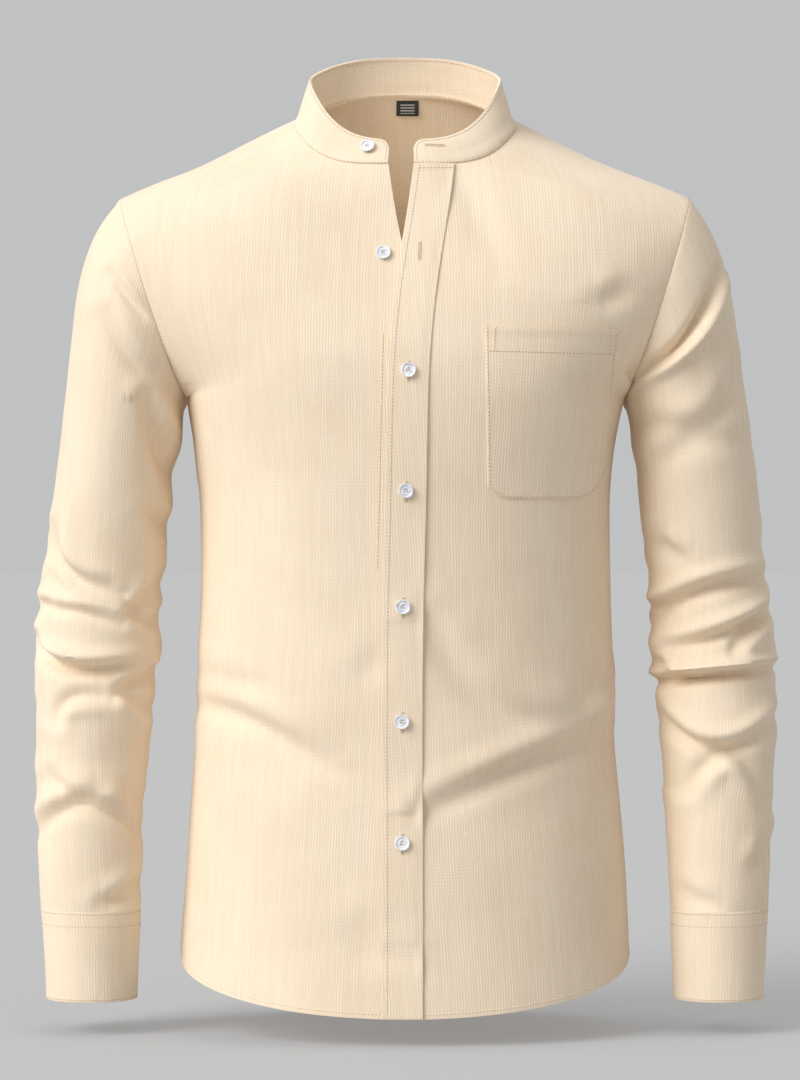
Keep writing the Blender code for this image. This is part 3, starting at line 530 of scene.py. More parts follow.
# %% Cloth material
CREAM = (0.900, 0.765, 0.595)
DEEP_CREAM = (0.690, 0.515, 0.335)
RIB = 2.2 * MM
CROSS_THREAD = 2.6 * MM
SHADE_BETWEEN = 0.36  # how far the colour deepens between two threads
CLOUD_SHADE = 0.10  # and how far it drifts over a panel
RIB_SHARE, CROSS_SHARE = 0.8, 0.35


def threads(tree, uv, way, pitch, wander):
    """Uneven threads a pitch apart: 0 between them and 1 on them."""
    inputs = {
        "Vector": uv, "Scale": math.tau / 20 / pitch, "Distortion": wander,
        "Detail": 2.0, "Detail Scale": 0.35,
    }
    return add(tree, "ShaderNodeTexWave", inputs, bands_direction=way).outputs["Fac"]


def patches(tree, uv, across, along, low, high):
    """Soft patches on the pattern, as a share from low to high."""
    size = {"Vector": uv, "Scale": (across, along, 1.0)}
    stretched = add(tree, "ShaderNodeMapping", size).outputs[0]
    cloud = add(tree, "ShaderNodeTexNoise", {"Vector": stretched, "Scale": 1.0, "Detail": 2.0})
    spread = {0: cloud.outputs["Fac"], 1: 0.35, 2: 0.65, 3: low, 4: high}
    return add(tree, "ShaderNodeMapRange", spread).outputs[0]


def cloth_material(name):
    material, tree, shader = shader_nodes(name)
    uv = add(tree, "ShaderNodeUVMap", {}).outputs[0]
    upright = threads(tree, uv, "X", RIB, 4.2)
    level = threads(tree, uv, "Y", CROSS_THREAD, 4.5)
    ribs = arithmetic(tree, "MULTIPLY", upright, patches(tree, uv, 240, 16, 0.15, 1.0))
    rows = arithmetic(tree, "MULTIPLY", level, patches(tree, uv, 20, 34, 0.0, 0.9))
    ribs = arithmetic(tree, "MULTIPLY", ribs, RIB_SHARE)
    rows = arithmetic(tree, "MULTIPLY", rows, CROSS_SHARE)
    weave = arithmetic(tree, "ADD", ribs, rows)
    spread = {0: weave, 1: 0.0, 2: 0.8, 3: SHADE_BETWEEN, 4: 0.0}
    between = add(tree, "ShaderNodeMapRange", spread).outputs[0]
    shade = arithmetic(tree, "ADD", between, patches(tree, uv, 14, 9, CLOUD_SHADE, 0.0))
    colour = add(
        tree, "ShaderNodeMix", {0: shade, 6: (*CREAM, 1), 7: (*DEEP_CREAM, 1)}, data_type="RGBA"
    )
    relief = add(tree, "ShaderNodeBump", {"Strength": 0.42, "Distance": 0.0004, "Height": weave})
    tree.links.new(colour.outputs[2], shader.inputs["Base Color"])
    tree.links.new(relief.outputs[0], shader.inputs["Normal"])
    shader.inputs["Roughness"].default_value = 0.85
    shader.inputs["Specular IOR Level"].default_value = 0.25
    shader.inputs["Sheen Weight"].default_value = 0.10
    shader.inputs["Sheen Roughness"].default_value = 0.5
    return material


cloth = cloth_material("cream_crepe")
print("cloth material:", len(cloth.node_tree.nodes), "nodes")

# %% [markdown]
# ## Seams round the neck and armholes
# Rounding a panel pulls its edge a few millimetres off its neighbour's wherever the seam bends.
# So the collar's lower edge and the sleeves' upper edges are drawn onto the edges that they are
# sewn to, and the cloth beside them follows a little less with every millimetre.

# %% Drawing a sewn edge onto its neighbours
faces = {}  # the finished outer face of each piece, before its thickness
Join = namedtuple("Join", "way neighbours tuck")
JOINS = {
    "collar": Join((0, 0, -1), ("front_right", "front_left", "yoke"), 0.5 * MM),
    "sleeve_right": Join((0, 0, 1), ("front_right", "yoke", "back"), 0.0),
    "sleeve_left": Join((0, 0, 1), ("front_left", "yoke", "back"), 0.0),
}
JOIN_NEAR = 5 * MM  # an edge farther from its neighbours than this is left alone
JOIN_REACH = 12 * MM  # how far in from the edge the cloth is drawn along
JOIN_STEPS = 8


def neighbour_edges(neighbours):
    """Close points along the edges of the finished faces of some pieces, and their normals."""
    spots = []
    for node in neighbours:
        holder = bpy.data.objects.new("edge", faces[node])
        for run in edge_runs(holder):
            verts = [faces[node].vertices[i] for i in run]
            for a, b in zip(verts, verts[1:]):
                for step in range(JOIN_STEPS):
                    share = step / JOIN_STEPS
                    spots.append((a.co.lerp(b.co, share), a.normal.lerp(b.normal, share)))
        bpy.data.objects.remove(holder)
    return spots


def draw_to_neighbours(piece, join):
    """Moves an edge onto its neighbours' edges, tucked in under them by the join's amount."""
    spots = neighbour_edges(join.neighbours)
    edge_tree = tree_of({i: spot for i, (spot, _) in enumerate(spots)})
    where, _ = points_of(piece)
    pulls = {}
    for i in farthest(piece, edge_runs(piece), join.way):
        spot, at, distance = edge_tree.find(where[i])
        if distance < JOIN_NEAR:
            pulls[i] = np.array(spot - spots[at][1] * join.tuck) - where[i]
    pull_tree = tree_of({i: where[i] for i in pulls})
    moved = where.copy()
    for i, point in enumerate(where):
        _, at, distance = pull_tree.find(point)
        moved[i] += pulls[at] * smooth(1 - distance / JOIN_REACH)
    move_points(piece, moved)
    most = max(np.linalg.norm(pull) for pull in pulls.values())
    print(f"{piece.name}: edge drawn up to {most / MM:.1f} mm to its neighbours")


# %% [markdown]
# ## The patch pocket
# A pocket lies on the front and follows every hollow of it. Shrinkwrap does just that: it puts
# each point the same height above the nearest place on the front. The mouth gapes a little.

# %% Laying the pocket on the front
POCKET_PROUD = 1.0 * MM  # how far the pocket's face stands out from the front
MOUTH_PROUD = 0.7 * MM  # how much farther its top edge stands off
MOUTH_REACH = 7 * MM
MOUTH_SLOPE = 3.5 * MM  # how much lower the top edge is at its outer end


def lay_on_front(pocket):
    apply_modifier(
        pocket, "SHRINKWRAP", target=bpy.data.objects["cloth_front_left"],
        wrap_method="NEAREST_SURFACEPOINT", wrap_mode="ABOVE_SURFACE", offset=POCKET_PROUD,
    )
    where, normal = points_of(pocket)
    below = where[:, 2].max() - MOUTH_SLOPE - where[:, 2]
    rise = MOUTH_PROUD * smooth(1 - np.clip(below, 0, None) / MOUTH_REACH)
    move_points(pocket, where + normal * rise[:, None])


# %% [markdown]
# ## The sewn pieces
# Every row names a piece, the way its outer side faces, its free sides as ways in which they
# lie farthest, its subdivision and its wall. Collar, cuffs, placket and pocket are more than one
# layer, so they are thicker and their folded edges are rounded by a small bevel. Solidify gives
# each face its wall inwards, away from what is seen.

# %% Sewing table
Piece = namedtuple("Piece", "node outside free levels wall roll")
FRONT, BEHIND, DOWN = (0, -1, 0), (0, 1, 0), (0, 0, -1)
TO_LEFT, TO_RIGHT = (1, 0, 0), (-1, 0, 0)
UP = (0, 0, 1)
CLOTH = 0.9 * MM
CUFF_CLOTH = 1.8 * MM
COLLAR_CLOTH = 2.0 * MM
BAND_CLOTH = 1.0 * MM  # placket and pocket
ROLL = 0.35 * MM  # radius of a folded edge
PLACKET_PROUD = 0.15 * MM
PIECES = (
    Piece("front_right", FRONT, (DOWN, TO_LEFT, (-1, 1, -0.5)), 3, CLOTH, 0),
    Piece("front_left", FRONT, (DOWN, TO_RIGHT, (1, 1, -0.5)), 3, CLOTH, 0),
    Piece("back", BEHIND, (DOWN, (1, -1, -0.5), (-1, -1, -0.5)), 3, CLOTH, 0),
    Piece("yoke", BEHIND, (), 3, CLOTH, 0),
    Piece("sleeve_right", TO_RIGHT, (), 3, CLOTH, 0),
    Piece("sleeve_left", TO_LEFT, (), 3, CLOTH, 0),
    Piece("cuff_right", TO_RIGHT, (DOWN,), 3, CUFF_CLOTH, ROLL),
    Piece("cuff_left", TO_LEFT, (DOWN,), 3, CUFF_CLOTH, ROLL),
    Piece("collar", BEHIND, (), 3, COLLAR_CLOTH, ROLL),
    Piece("placket", FRONT, (DOWN, TO_LEFT, TO_RIGHT, UP), 4, BAND_CLOTH, ROLL),
    Piece("pocket", FRONT, (), 3, BAND_CLOTH, ROLL),
)


# %% Making the pieces
def shape(piece, row):
    """Creases a fine panel, or lays it on what carries it, and closes its seams."""
    if row.node == "pocket":
        lay_on_front(piece)
    else:
        proud = PLACKET_PROUD if row.node == "placket" else 0.0
        crease_cloth(piece, seam_hold(piece, row.free), proud)
    if row.node in JOINS:
        draw_to_neighbours(piece, JOINS[row.node])


def give_wall(piece, row):
    apply_modifier(piece, "SOLIDIFY", thickness=row.wall, offset=-1.0)
    if row.roll:
        round_edges(piece, row.roll, 2, 60)
    pick(piece)
    bpy.ops.object.shade_smooth_by_angle(angle=math.radians(50))


for row in PIECES:
    piece = take_up(row.node, row.outside)
    if row.node.startswith("cuff"):
        let_out(piece, CUFF_SHARE)
    elif row.roll == 0:
        let_out(piece, SEAM_SHARE)
    if row.node.startswith("sleeve"):
        cut_under_arm(piece, 1 if row.node.endswith("left") else -1)
    flat = lay_round_neck(piece) if row.node == "collar" else lay_flat(piece)
    make_fine(piece, row.levels)
    shape(piece, row)
    faces[row.node] = piece.data.copy()
    give_wall(piece, row)
    piece.data.materials.append(cloth)
    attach(piece, "root")
    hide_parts(row.node)

# %% [markdown]
# ## Stitches
# A stitch is a short thread that rises out of the cloth and dips back into it. It is made once,
# by extruding a small circle along a low arch, and copied along every seam. Between two
# stitches the needle leaves a shallow dimple, coloured dark as painted shade, which is what
# makes a row look dotted from afar.
# Both have only a few dozen faces, because there are thousands of them.

# %% One stitch and one needle hole
STITCH = 2.7 * MM  # from one needle hole to the next
THREAD = 0.24 * MM  # radius
ARCH = (-0.10, 0.14, 0.26, 0.14, -0.10)  # height along a stitch, in millimetres


def one_stitch(length, radius):
    """An arched thread of five sides along X, as a mesh."""
    bpy.ops.object.select_all(action="DESELECT")
    bpy.ops.mesh.primitive_circle_add(
        vertices=5, radius=radius, fill_type="NGON",
        location=(-length / 2, 0, ARCH[0] * MM), rotation=(0, math.pi / 2, 0),
    )
    piece = bpy.context.active_object
    bpy.ops.object.mode_set(mode="EDIT")
    bpy.ops.mesh.select_all(action="SELECT")
    step = length / (len(ARCH) - 1)
    for before, after in zip(ARCH, ARCH[1:]):
        move = {"value": (step, 0, (after - before) * MM), "orient_type": "GLOBAL"}
        bpy.ops.mesh.extrude_region_move(TRANSFORM_OT_translate=move)
    bpy.ops.mesh.select_all(action="SELECT")
    bpy.ops.mesh.normals_make_consistent(inside=False)
    bpy.ops.object.mode_set(mode="OBJECT")
    bpy.ops.object.transform_apply(location=True, rotation=True, scale=True)
    return piece


HOLE_RADIUS = 0.42 * MM
HOLE_RIM = 0.14 * MM
HOLE_PROUD = 0.12 * MM  # the rim stands this much above the cloth
HOLE_DEPTH = 0.05 * MM


def one_hole():
    """A shallow dimple that carries a needle hole's painted shade: a disc whose middle is inset
    and pushed down.
    """
    bpy.ops.object.select_all(action="DESELECT")
    bpy.ops.mesh.primitive_circle_add(vertices=6, radius=HOLE_RADIUS, fill_type="NGON")
    piece = bpy.context.active_object
    bpy.ops.object.mode_set(mode="EDIT")
    bpy.ops.mesh.select_all(action="SELECT")
    bpy.ops.mesh.extrude_region_move(TRANSFORM_OT_translate={"value": (0, 0, HOLE_PROUD)})
    bpy.ops.mesh.inset(thickness=HOLE_RIM, depth=-HOLE_DEPTH)
    bpy.ops.mesh.select_all(action="SELECT")
    bpy.ops.mesh.normals_make_consistent(inside=False)
    bpy.ops.object.mode_set(mode="OBJECT")
    return piece


def lay_copies(name, pattern, places, material):
    """Copies a small piece to places given by their middle, way along and way up."""
    spots = np.array([vert.co for vert in pattern.data.vertices])
    corners = [tuple(face.vertices) for face in pattern.data.polygons]
    points, polygons = [], []
    for middle, along, up in places:
        across = np.cross(up, along)
        turned = spots @ np.array((along, across, up)) + middle
        polygons += [tuple(i + len(points) * len(spots) for i in face) for face in corners]
        points.append(turned)
    mesh = bpy.data.meshes.new(name)
    mesh.from_pydata(np.concatenate(points).tolist(), [], polygons)
    mesh.shade_smooth()
    mesh.materials.append(material)
    piece = bpy.data.objects.new(name, mesh)
    bpy.context.scene.collection.objects.link(piece)
    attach(piece, "root")
    print(f"{name}: {len(places)} copies, {sum(len(face) - 2 for face in polygons)} triangles")
    return piece


# %% [markdown]
# ## Rows of stitches
# A row runs a set distance in from a piece's edge. The side's points are moved inwards along
# the cloth, put back on its surface, and walked a stitch at a time.

# %% Finding where the stitches go
stitch_places, hole_shade_places = [], []
surfaces = {}
for node, mesh in faces.items():
    corners = [face.vertices for face in mesh.polygons]
    surfaces[node] = BVHTree.FromPolygons([vert.co for vert in mesh.vertices], corners)


def unit(vector):
    return vector / max(np.linalg.norm(vector), 1e-12)


def on_cloth(node, point):
    """The nearest point of a piece's outer face, and its normal."""
    where, normal, _, _ = surfaces[node].find_nearest(Vector(point))
    return np.array(where), np.array(normal)


def seen_at(node, x, z):
    """The point of a piece's outer face at x and z, in millimetres, seen from the front."""
    in_front = Vector((x * MM, -1, z * MM))
    return np.array(surfaces[node].ray_cast(in_front, Vector((0, 1, 0)))[0])


def beside_edge(node, way, inset, trim=0.0):
    """A line on a piece, inset from the side that lies farthest in a direction, ends trimmed."""
    mesh = faces[node]
    holder = bpy.data.objects.new("edge", mesh)
    run = farthest(holder, edge_runs(holder), way)
    bpy.data.objects.remove(holder)
    line = [np.array(mesh.vertices[i].co) for i in run]
    normals = [np.array(mesh.vertices[i].normal) for i in run]
    moved = []
    for i, point in enumerate(line):
        along = unit(line[min(i + 1, len(line) - 1)] - line[max(i - 1, 0)])
        moved.append(point + np.cross(normals[i], along) * inset)
    return trimmed(moved, trim)


def walked(line):
    """How far along a line each of its points lies."""
    return np.cumsum([0.0] + [np.linalg.norm(b - a) for a, b in zip(line, line[1:])])


def trimmed(line, trim):
    """A line without its first and last stretch."""
    steps = walked(line)
    return [point for point, at in zip(line, steps) if trim <= at <= steps[-1] - trim]


def sew(node, line, inside_wall=None, thread=True, holes=True):
    """Lays stitches and the painted shade of needle holes along a line on a piece, or on its
    inner face.
    """
    steps = walked(line)
    line = np.array(line)
    count = max(int(steps[-1] / STITCH), 1)
    at = np.linspace(0, steps[-1], count + 1)
    points = np.stack([np.interp(at, steps, line[:, axis]) for axis in range(3)], axis=1)
    spots = []
    for point in points:
        where, normal = on_cloth(node, point)
        if inside_wall:
            where = where - normal * inside_wall
            normal = -normal
        spots.append((where, normal))
    for (a, up_a), (b, up_b) in zip(spots, spots[1:]):
        up = unit(up_a + up_b)
        along = unit((b - a) - up * ((b - a) @ up))
        if thread:
            stitch_places.append(((a + b) / 2, along, up))
        if holes:
            hole_shade_places.append((a, along, up))


ROW_POINTS = 24


def sew_across(node, start, end):
    """Sews a straight row between two points seen from the front, in millimetres."""
    steps = np.linspace(0, 1, ROW_POINTS)
    sew(node, [seen_at(node, *(np.array(start) * (1 - t) + np.array(end) * t)) for t in steps])


# %% Rows on the fronts
PLACKET_INSET = 4.3 * MM
POCKET_INSET = 1.3 * MM
for way in (TO_LEFT, TO_RIGHT):
    sew("placket", beside_edge("placket", way, PLACKET_INSET, trim=1 * MM))
for way in (DOWN, TO_LEFT, TO_RIGHT):
    sew("pocket", beside_edge("pocket", way, POCKET_INSET, trim=0.6 * MM))
# straight rows, in millimetres
HEM_BELOW = 20.5  # the hem's row, below the pocket's top edge
HEM_SLOPE = 1
BAR = 4.3  # width of the narrow boxes sewn at the pocket's corners
low, high = (np.array(corner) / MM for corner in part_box("pocket"))
hem_row = high[2] - HEM_BELOW
inner, outer = low[0] + 3.4, high[0] - 2.4
sew_across("pocket", (inner - 1.8, hem_row), (outer - 0.2, hem_row - HEM_SLOPE))
sew_across("pocket", (inner + BAR - 1, hem_row), (inner + BAR, high[2] - 1.6))
sew_across("pocket", (outer - BAR, hem_row), (outer - BAR + 1, high[2] - 5.2))
sew_across("front_right", (-16.6, -168), (-21, -345))
print("rows on the fronts:", len(stitch_places), "stitches")

# %% Rows on cuffs, collar, yoke and hem
for cuff in ("cuff_left", "cuff_right"):
    sew(cuff, beside_edge(cuff, UP, 2.2 * MM, trim=2 * MM))
    sew(cuff, beside_edge(cuff, UP, 12.0 * MM, trim=2 * MM), thread=False)
    sew(cuff, beside_edge(cuff, DOWN, 2.0 * MM, trim=2 * MM))
for way, inset in ((UP, 2.0 * MM), (DOWN, 1.8 * MM)):
    line = beside_edge("collar", way, inset, trim=1.5 * MM)
    sew("collar", line)
    sew("collar", line, inside_wall=COLLAR_CLOTH)
for inset in (1.6 * MM, 6.5 * MM):
    line = beside_edge("yoke", (0, 1, -3), inset, trim=2 * MM)
    sew("yoke", line)
    sew("yoke", line, inside_wall=CLOTH)
for node in ("front_left", "front_right", "back"):
    sew(node, beside_edge(node, DOWN, 3.5 * MM, trim=1 * MM), holes=False)

# %% Thread
THREAD_CREAM = (0.86, 0.74, 0.58, 1)
# painted shade: the dark brown of needle holes and buttonhole slits, where there is only shade
PAINTED_SHADE_BROWN = (0.50, 0.36, 0.22, 1)


def plain_material(name, colour, roughness):
    material, _, shader = shader_nodes(name)
    shader.inputs["Base Color"].default_value = colour
    shader.inputs["Roughness"].default_value = roughness
    return material


thread_material = plain_material("cream_thread", THREAD_CREAM, 0.6)
painted_shade_material = plain_material("needle_hole_shadow", PAINTED_SHADE_BROWN, 1.0)
stitch, hole = one_stitch(0.74 * STITCH, THREAD), one_hole()
lay_copies("topstitching", stitch, stitch_places, thread_material)
# each needle hole is a dark disc of painted shade
lay_copies("needle_hole_painted_shade", hole, hole_shade_places, painted_shade_material)
for pattern in (stitch, hole):
    bpy.data.objects.remove(pattern)

# %% [markdown]
# ## Buttons
# A shirt button is a thick pearly disc with a raised rim, a dished middle and four holes. A
# cylinder is inset and pushed down for the dish, its edges are bevelled, and a Boolean cuts the
# holes. One is modelled at the origin, then copied to where each plain button lies.

# %% One button
BUTTON_RADIUS = 5.75 * MM
BUTTON_THICK = 2.6 * MM
RIM = 1.25 * MM  # width of the raised rim
DISH_SIDE, DISH_DEPTH = 0.45 * MM, 0.75 * MM
BOSS_SIDE, BOSS_RISE = 1.7 * MM, 0.22 * MM
UNDERSIDE = 0.78  # the back's width, as a share of the front's
BUTTON_EDGE = 0.42 * MM
DRILL = 0.62 * MM  # radius of a thread hole
DRILL_AWAY = 1.15 * MM  # its distance from the middle


def select_faces(piece, wanted):
    """In edit mode, selects the faces for which a test of middle and normal holds."""
    bpy.ops.mesh.select_mode(type="FACE")
    bpy.ops.mesh.select_all(action="DESELECT")
    mesh = bmesh.from_edit_mesh(piece.data)
    for face in mesh.faces:
        face.select = wanted(face.calc_center_median(), face.normal)
    bmesh.update_edit_mesh(piece.data)


def one_button():
    bpy.ops.object.select_all(action="DESELECT")
    bpy.ops.mesh.primitive_cylinder_add(vertices=40, radius=BUTTON_RADIUS, depth=BUTTON_THICK)
    piece = bpy.context.active_object
    bpy.ops.object.mode_set(mode="EDIT")
    select_faces(piece, lambda middle, normal: normal.z > 0.9)
    bpy.ops.mesh.inset(thickness=RIM)
    bpy.ops.mesh.inset(thickness=DISH_SIDE, depth=-DISH_DEPTH)
    bpy.ops.mesh.inset(thickness=BOSS_SIDE, depth=BOSS_RISE)
    select_faces(piece, lambda middle, normal: normal.z < -0.9)
    bpy.ops.transform.resize(
        value=(UNDERSIDE, UNDERSIDE, 1.0), center_override=(0, 0, -BUTTON_THICK / 2)
    )
    bpy.ops.object.mode_set(mode="OBJECT")
    round_edges(piece, BUTTON_EDGE, 3, 28)
    for turn in range(4):
        angle = math.radians(45 + 90 * turn)
        place = (DRILL_AWAY * math.cos(angle), DRILL_AWAY * math.sin(angle), 0)
        bpy.ops.object.select_all(action="DESELECT")
        bpy.ops.mesh.primitive_cylinder_add(
            vertices=14, radius=DRILL, depth=3 * BUTTON_THICK, location=place
        )
        drill = bpy.context.active_object
        apply_modifier(piece, "BOOLEAN", operation="DIFFERENCE", object=drill, solver="EXACT")
        bpy.data.objects.remove(drill)
    pick(piece)
    bpy.ops.object.shade_smooth_by_angle(angle=math.radians(35))
    print("button:", len(piece.data.polygons), "faces")
    return piece


# %% Pearl
PEARL_BANDS = ((0.36, (0.66, 0.68, 0.76, 1)), (0.62, (0.93, 0.92, 0.93, 1)))


def pearl_material():
    """Pale resin with soft grey clouds like mother of pearl, under a clear coat."""
    material, tree, shader = shader_nodes("white_pearl")
    place = add(tree, "ShaderNodeTexCoord", {}).outputs["Object"]
    look = {"Vector": place, "Scale": 210.0, "Detail": 2.0, "Distortion": 1.4}
    cloud = add(tree, "ShaderNodeTexNoise", look)
    ramp = add(tree, "ShaderNodeValToRGB", {0: cloud.outputs["Fac"]})
    for element, (position, colour) in zip(ramp.color_ramp.elements, PEARL_BANDS):
        element.position = position
        element.color = colour
    tree.links.new(ramp.outputs["Color"], shader.inputs["Base Color"])
    shader.inputs["Roughness"].default_value = 0.22
    shader.inputs["Coat Weight"].default_value = 0.6
    shader.inputs["Coat Roughness"].default_value = 0.08
    return material


# %% Placing buttons and their thread
BUTTONS = [node for node in nodes if node.startswith("button")]
THREAD_RISE = 0.35 * MM  # the thread's height over the button's middle
THREAD_APART = 0.7 * DRILL_AWAY
pearl = pearl_material()
button = one_button()
button_thread = []
for node in sorted(BUTTONS):
    spots = np.array([vert.co for vert in nodes[node].data.vertices])
    low, high = spots.min(axis=0), spots.max(axis=0)
    middle = (low + high) / 2
    up = np.linalg.svd(spots - spots.mean(axis=0))[2][2]
    up = up * (1 if up[1] < 0 else -1) * (-1 if "cuff" in node else 1)
    across = unit(np.cross((0.0, 0.0, 1.0), up))
    copied = lay_copies(f"pearl_{node}", button, [(middle, across, up)], pearl)
    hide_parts(node)
    top = middle + up * THREAD_RISE
    along = np.cross(up, across)
    for side in (-1, 1):
        button_thread.append((top + across * side * THREAD_APART, along, up))
knot = one_stitch(2.4 * MM, 0.34 * MM)
lay_copies("button_thread", knot, button_thread, thread_material)
for pattern in (button, knot):
    bpy.data.objects.remove(pattern)

# %% [markdown]
# ## Buttonholes
# A buttonhole is a slit with close stitches over both its edges and a bar across each end. The
# stitches are copies of one short bar, half a millimetre apart, and the slit is a dark sliver of
# painted shade between the two columns. Those down the placket stand upright; the collar's lies
# along it.

# %% Working the buttonholes
SATIN = 0.55 * MM  # from one bar to the next
SLIT_LENGTH = 14.5 * MM
SLIT_WIDTH = 0.045  # as a share of its length
SLIT_RISE = 0.08 * MM
LIP = 0.75 * MM  # from the slit's middle to the middle of each column
bar_places, slit_places = [], []


def work_buttonhole(node, middle, way):
    """Lays bars and a slit on a piece, centred at a point and running in a direction."""
    centre, up = on_cloth(node, middle)
    along = unit(np.array(way) - up * (np.array(way) @ up))
    across = np.cross(up, along)
    count = int(SLIT_LENGTH / SATIN)
    for i in range(count + 1):
        step = (i / count - 0.5) * SLIT_LENGTH
        for side in (-1, 1):
            spot, normal = on_cloth(node, centre + along * step + across * side * LIP)
            bar_places.append((spot, across, normal))
    for end in (-1, 1):
        for layer in (0.0, 0.5 * MM):
            spot, normal = on_cloth(node, centre + along * end * (SLIT_LENGTH / 2 + layer))
            bar_places.append((spot, across, normal))
    slit_places.append((centre, along, up))


def one_slit():
    """A thin sliver for a slit's painted shade, pointed at its ends: a flat disc squeezed narrow.
    """
    bpy.ops.object.select_all(action="DESELECT")
    bpy.ops.mesh.primitive_cylinder_add(vertices=12, radius=SLIT_LENGTH / 2, depth=0.1 * MM)
    piece = bpy.context.active_object
    bpy.ops.object.mode_set(mode="EDIT")
    bpy.ops.mesh.select_all(action="SELECT")
    bpy.ops.transform.resize(value=(0.96, SLIT_WIDTH, 1.0), center_override=(0, 0, 0))
    bpy.ops.transform.translate(value=(0, 0, SLIT_RISE))
    bpy.ops.object.mode_set(mode="OBJECT")
    return piece


# %% Where the buttonholes lie
OPEN_HOLE = (10.8, -103)  # beside the undone first button, in millimetres
COLLAR_HOLE = (22.5, -19.5)
BELOW_MIDDLE = Vector((0, 0, 0.8 * MM))
SATIN_GOLD = (0.78, 0.64, 0.46, 1)


def middle_of(node):
    low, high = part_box(node)
    return (low + high) / 2


front_buttons = [node for node in BUTTONS if "cuff" not in node and node != "button_neck"]
front_buttons.sort(key=lambda node: -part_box(node)[0].z)
for node in front_buttons:
    middle = middle_of(node)
    if node == front_buttons[0]:
        middle = Vector(seen_at("placket", *OPEN_HOLE))
    work_buttonhole("placket", middle - BELOW_MIDDLE, (0.03, 0, 1))
work_buttonhole("collar", seen_at("collar", *COLLAR_HOLE), (1, 0, 0.05))
for node in ("cuff_left", "cuff_right"):
    work_buttonhole(node, middle_of("button_" + node), (1, 0, 0))
bar, slit = one_stitch(1.5 * MM, 0.27 * MM), one_slit()
satin_material = plain_material("buttonhole_thread", SATIN_GOLD, 0.5)
lay_copies("buttonhole_stitches", bar, bar_places, satin_material)
# each slit is a dark sliver of painted shade
lay_copies("buttonhole_slit_painted_shade", slit, slit_places, painted_shade_material)
for pattern in (bar, slit):
    bpy.data.objects.remove(pattern)

# %% [markdown]
# ## Neck label
# A small tab of black woven tape under the collar. It is bare of words: a few pale woven bars
# stand in for the lines of a size label. The bars are drawn by the tape's own flat pattern.

# %% Label
BARS_PER_METRE = 420
BAR_SHARE = 0.36  # how much of each repeat is pale
BARS_REACH = (5.6 * MM, 4.4 * MM)
TAPE_BLACKS = ((0.014, 0.014, 0.016, 1), (0.035, 0.035, 0.04, 1))
BAR_GREY = (0.55, 0.54, 0.52, 1)


def label_material():
    material, tree, shader = shader_nodes("black_tape")
    uv = add(tree, "ShaderNodeUVMap", {}).outputs[0]
    place = add(tree, "ShaderNodeSeparateXYZ", {0: uv})
    repeats = arithmetic(tree, "MULTIPLY", place.outputs[1], BARS_PER_METRE)
    bars = arithmetic(tree, "LESS_THAN", arithmetic(tree, "FRACT", repeats, 0.0), BAR_SHARE)
    for side, reach in zip(place.outputs, BARS_REACH):
        away = arithmetic(tree, "ABSOLUTE", side, 0.0)
        bars = arithmetic(tree, "MULTIPLY", bars, arithmetic(tree, "LESS_THAN", away, reach))
    check = {"Vector": uv, "Color1": TAPE_BLACKS[0], "Color2": TAPE_BLACKS[1], "Scale": 2600.0}
    tape = add(tree, "ShaderNodeTexChecker", check)
    mix = {0: bars, 6: tape.outputs["Color"], 7: BAR_GREY}
    colour = add(tree, "ShaderNodeMix", mix, data_type="RGBA")
    tree.links.new(colour.outputs[2], shader.inputs["Base Color"])
    shader.inputs["Roughness"].default_value = 0.7
    return material


tab = take_up("neck_label", FRONT)
tab_size = lay_flat(tab)
make_fine(tab, 2)
apply_modifier(tab, "SOLIDIFY", thickness=0.6 * MM, offset=-1.0)
round_edges(tab, 0.15 * MM, 2, 60)
tab.data.materials.append(label_material())
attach(tab, "root")
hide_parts("neck_label")
print(f"label: {tab_size[0] / MM:.1f} x {tab_size[1] / MM:.1f} mm")

# %% [markdown]
# ## Light and floor
# A pale floor under the hem and an even grey room. The floor glows a little, as a lit studio
# floor does, so that shadows on it stay pale. One broad light from the wearer's right and above
# shapes the creases, one from straight above drops a soft shadow, and a small warm lamp inside
# the neck stands for light that cloth lets through.

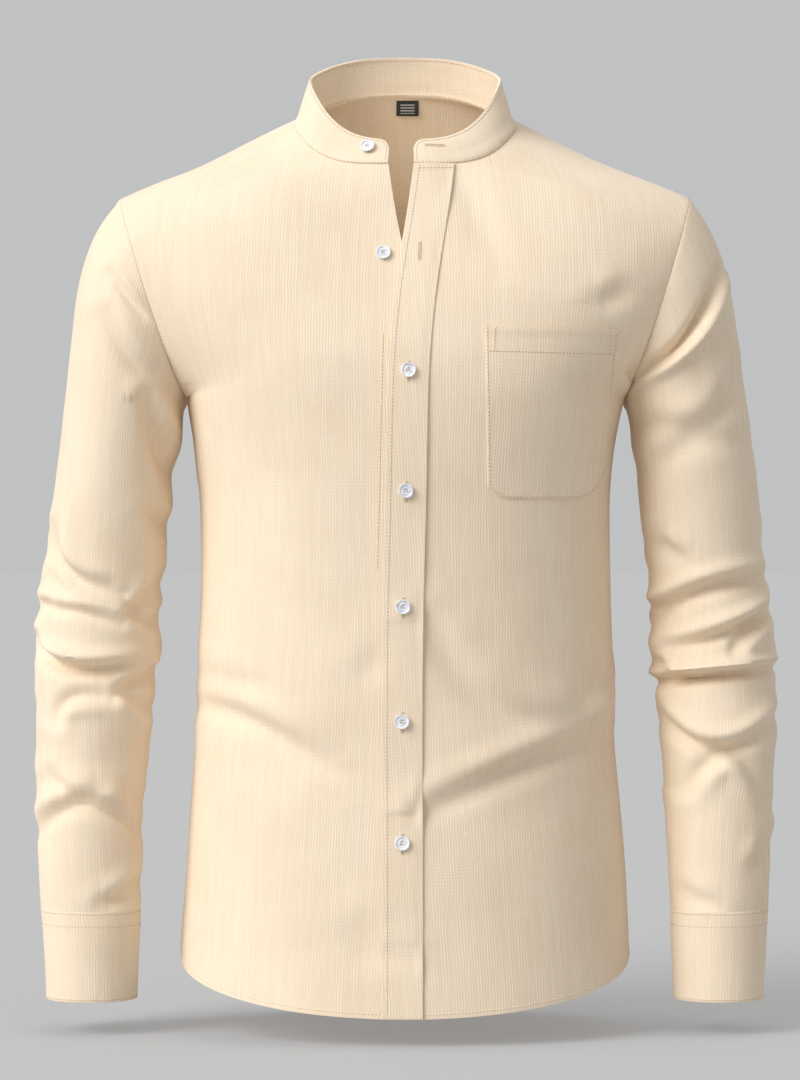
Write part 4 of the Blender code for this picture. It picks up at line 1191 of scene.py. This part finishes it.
# %% Studio
bpy.ops.object.select_all(action="DESELECT")
FLOOR_HEIGHT = -702 * MM
FLOOR_COLOUR = (0.285, 0.285, 0.288, 1)
FLOOR_GLOW = 0.24
bpy.ops.mesh.primitive_plane_add(size=80, location=(0, 0, FLOOR_HEIGHT))
floor = bpy.context.active_object
floor.name = "floor"
floor_material, _, floor_shader = shader_nodes("pale_floor")
floor_shader.inputs["Base Color"].default_value = FLOOR_COLOUR
floor_shader.inputs["Emission Color"].default_value = (1.0, 1.0, 1.0, 1)
floor_shader.inputs["Emission Strength"].default_value = FLOOR_GLOW
floor_shader.inputs["Roughness"].default_value = 0.95
floor_shader.inputs["Specular IOR Level"].default_value = 0.0
floor.data.materials.append(floor_material)

GREY = (0.53, 0.535, 0.54, 1)
room = bpy.data.worlds.new("room")
room.use_nodes = True
room.node_tree.nodes["Background"].inputs[0].default_value = GREY
bpy.context.scene.world = room


# %% Lights
WARM = (1.0, 0.90, 0.76)


def soft_sun(name, toward, strength, softness):
    """A broad light from a direction, the same everywhere, so that the floor stays even."""
    lamp = bpy.data.lights.new(name, "SUN")
    lamp.energy = strength
    lamp.angle = math.radians(softness)
    thing = bpy.data.objects.new(name, lamp)
    bpy.context.scene.collection.objects.link(thing)
    thing.rotation_euler = (-Vector(toward)).to_track_quat("-Z", "Y").to_euler()


soft_sun("key", (-0.85, -0.60, 0.70), 2.75, 38)
soft_sun("overhead", (0.02, 0.05, 1.0), 0.22, 16)
neck_lamp = bpy.data.lights.new("neck_glow", "POINT")
neck_lamp.energy = 0.085
neck_lamp.shadow_soft_size = 20 * MM
neck_lamp.color = WARM
neck_glow = bpy.data.objects.new("neck_glow", neck_lamp)
neck_glow.location = (0, -5 * MM, -45 * MM)
neck_glow.visible_camera = False
bpy.context.scene.collection.objects.link(neck_glow)
bpy.context.scene.view_settings.view_transform = "Standard"
print("lights:", ", ".join(light.name for light in bpy.data.lights))

# %% [markdown]
# ## Finish
# The helper faces are thrown away.

# %% Finish
for mesh in faces.values():
    bpy.data.meshes.remove(mesh)
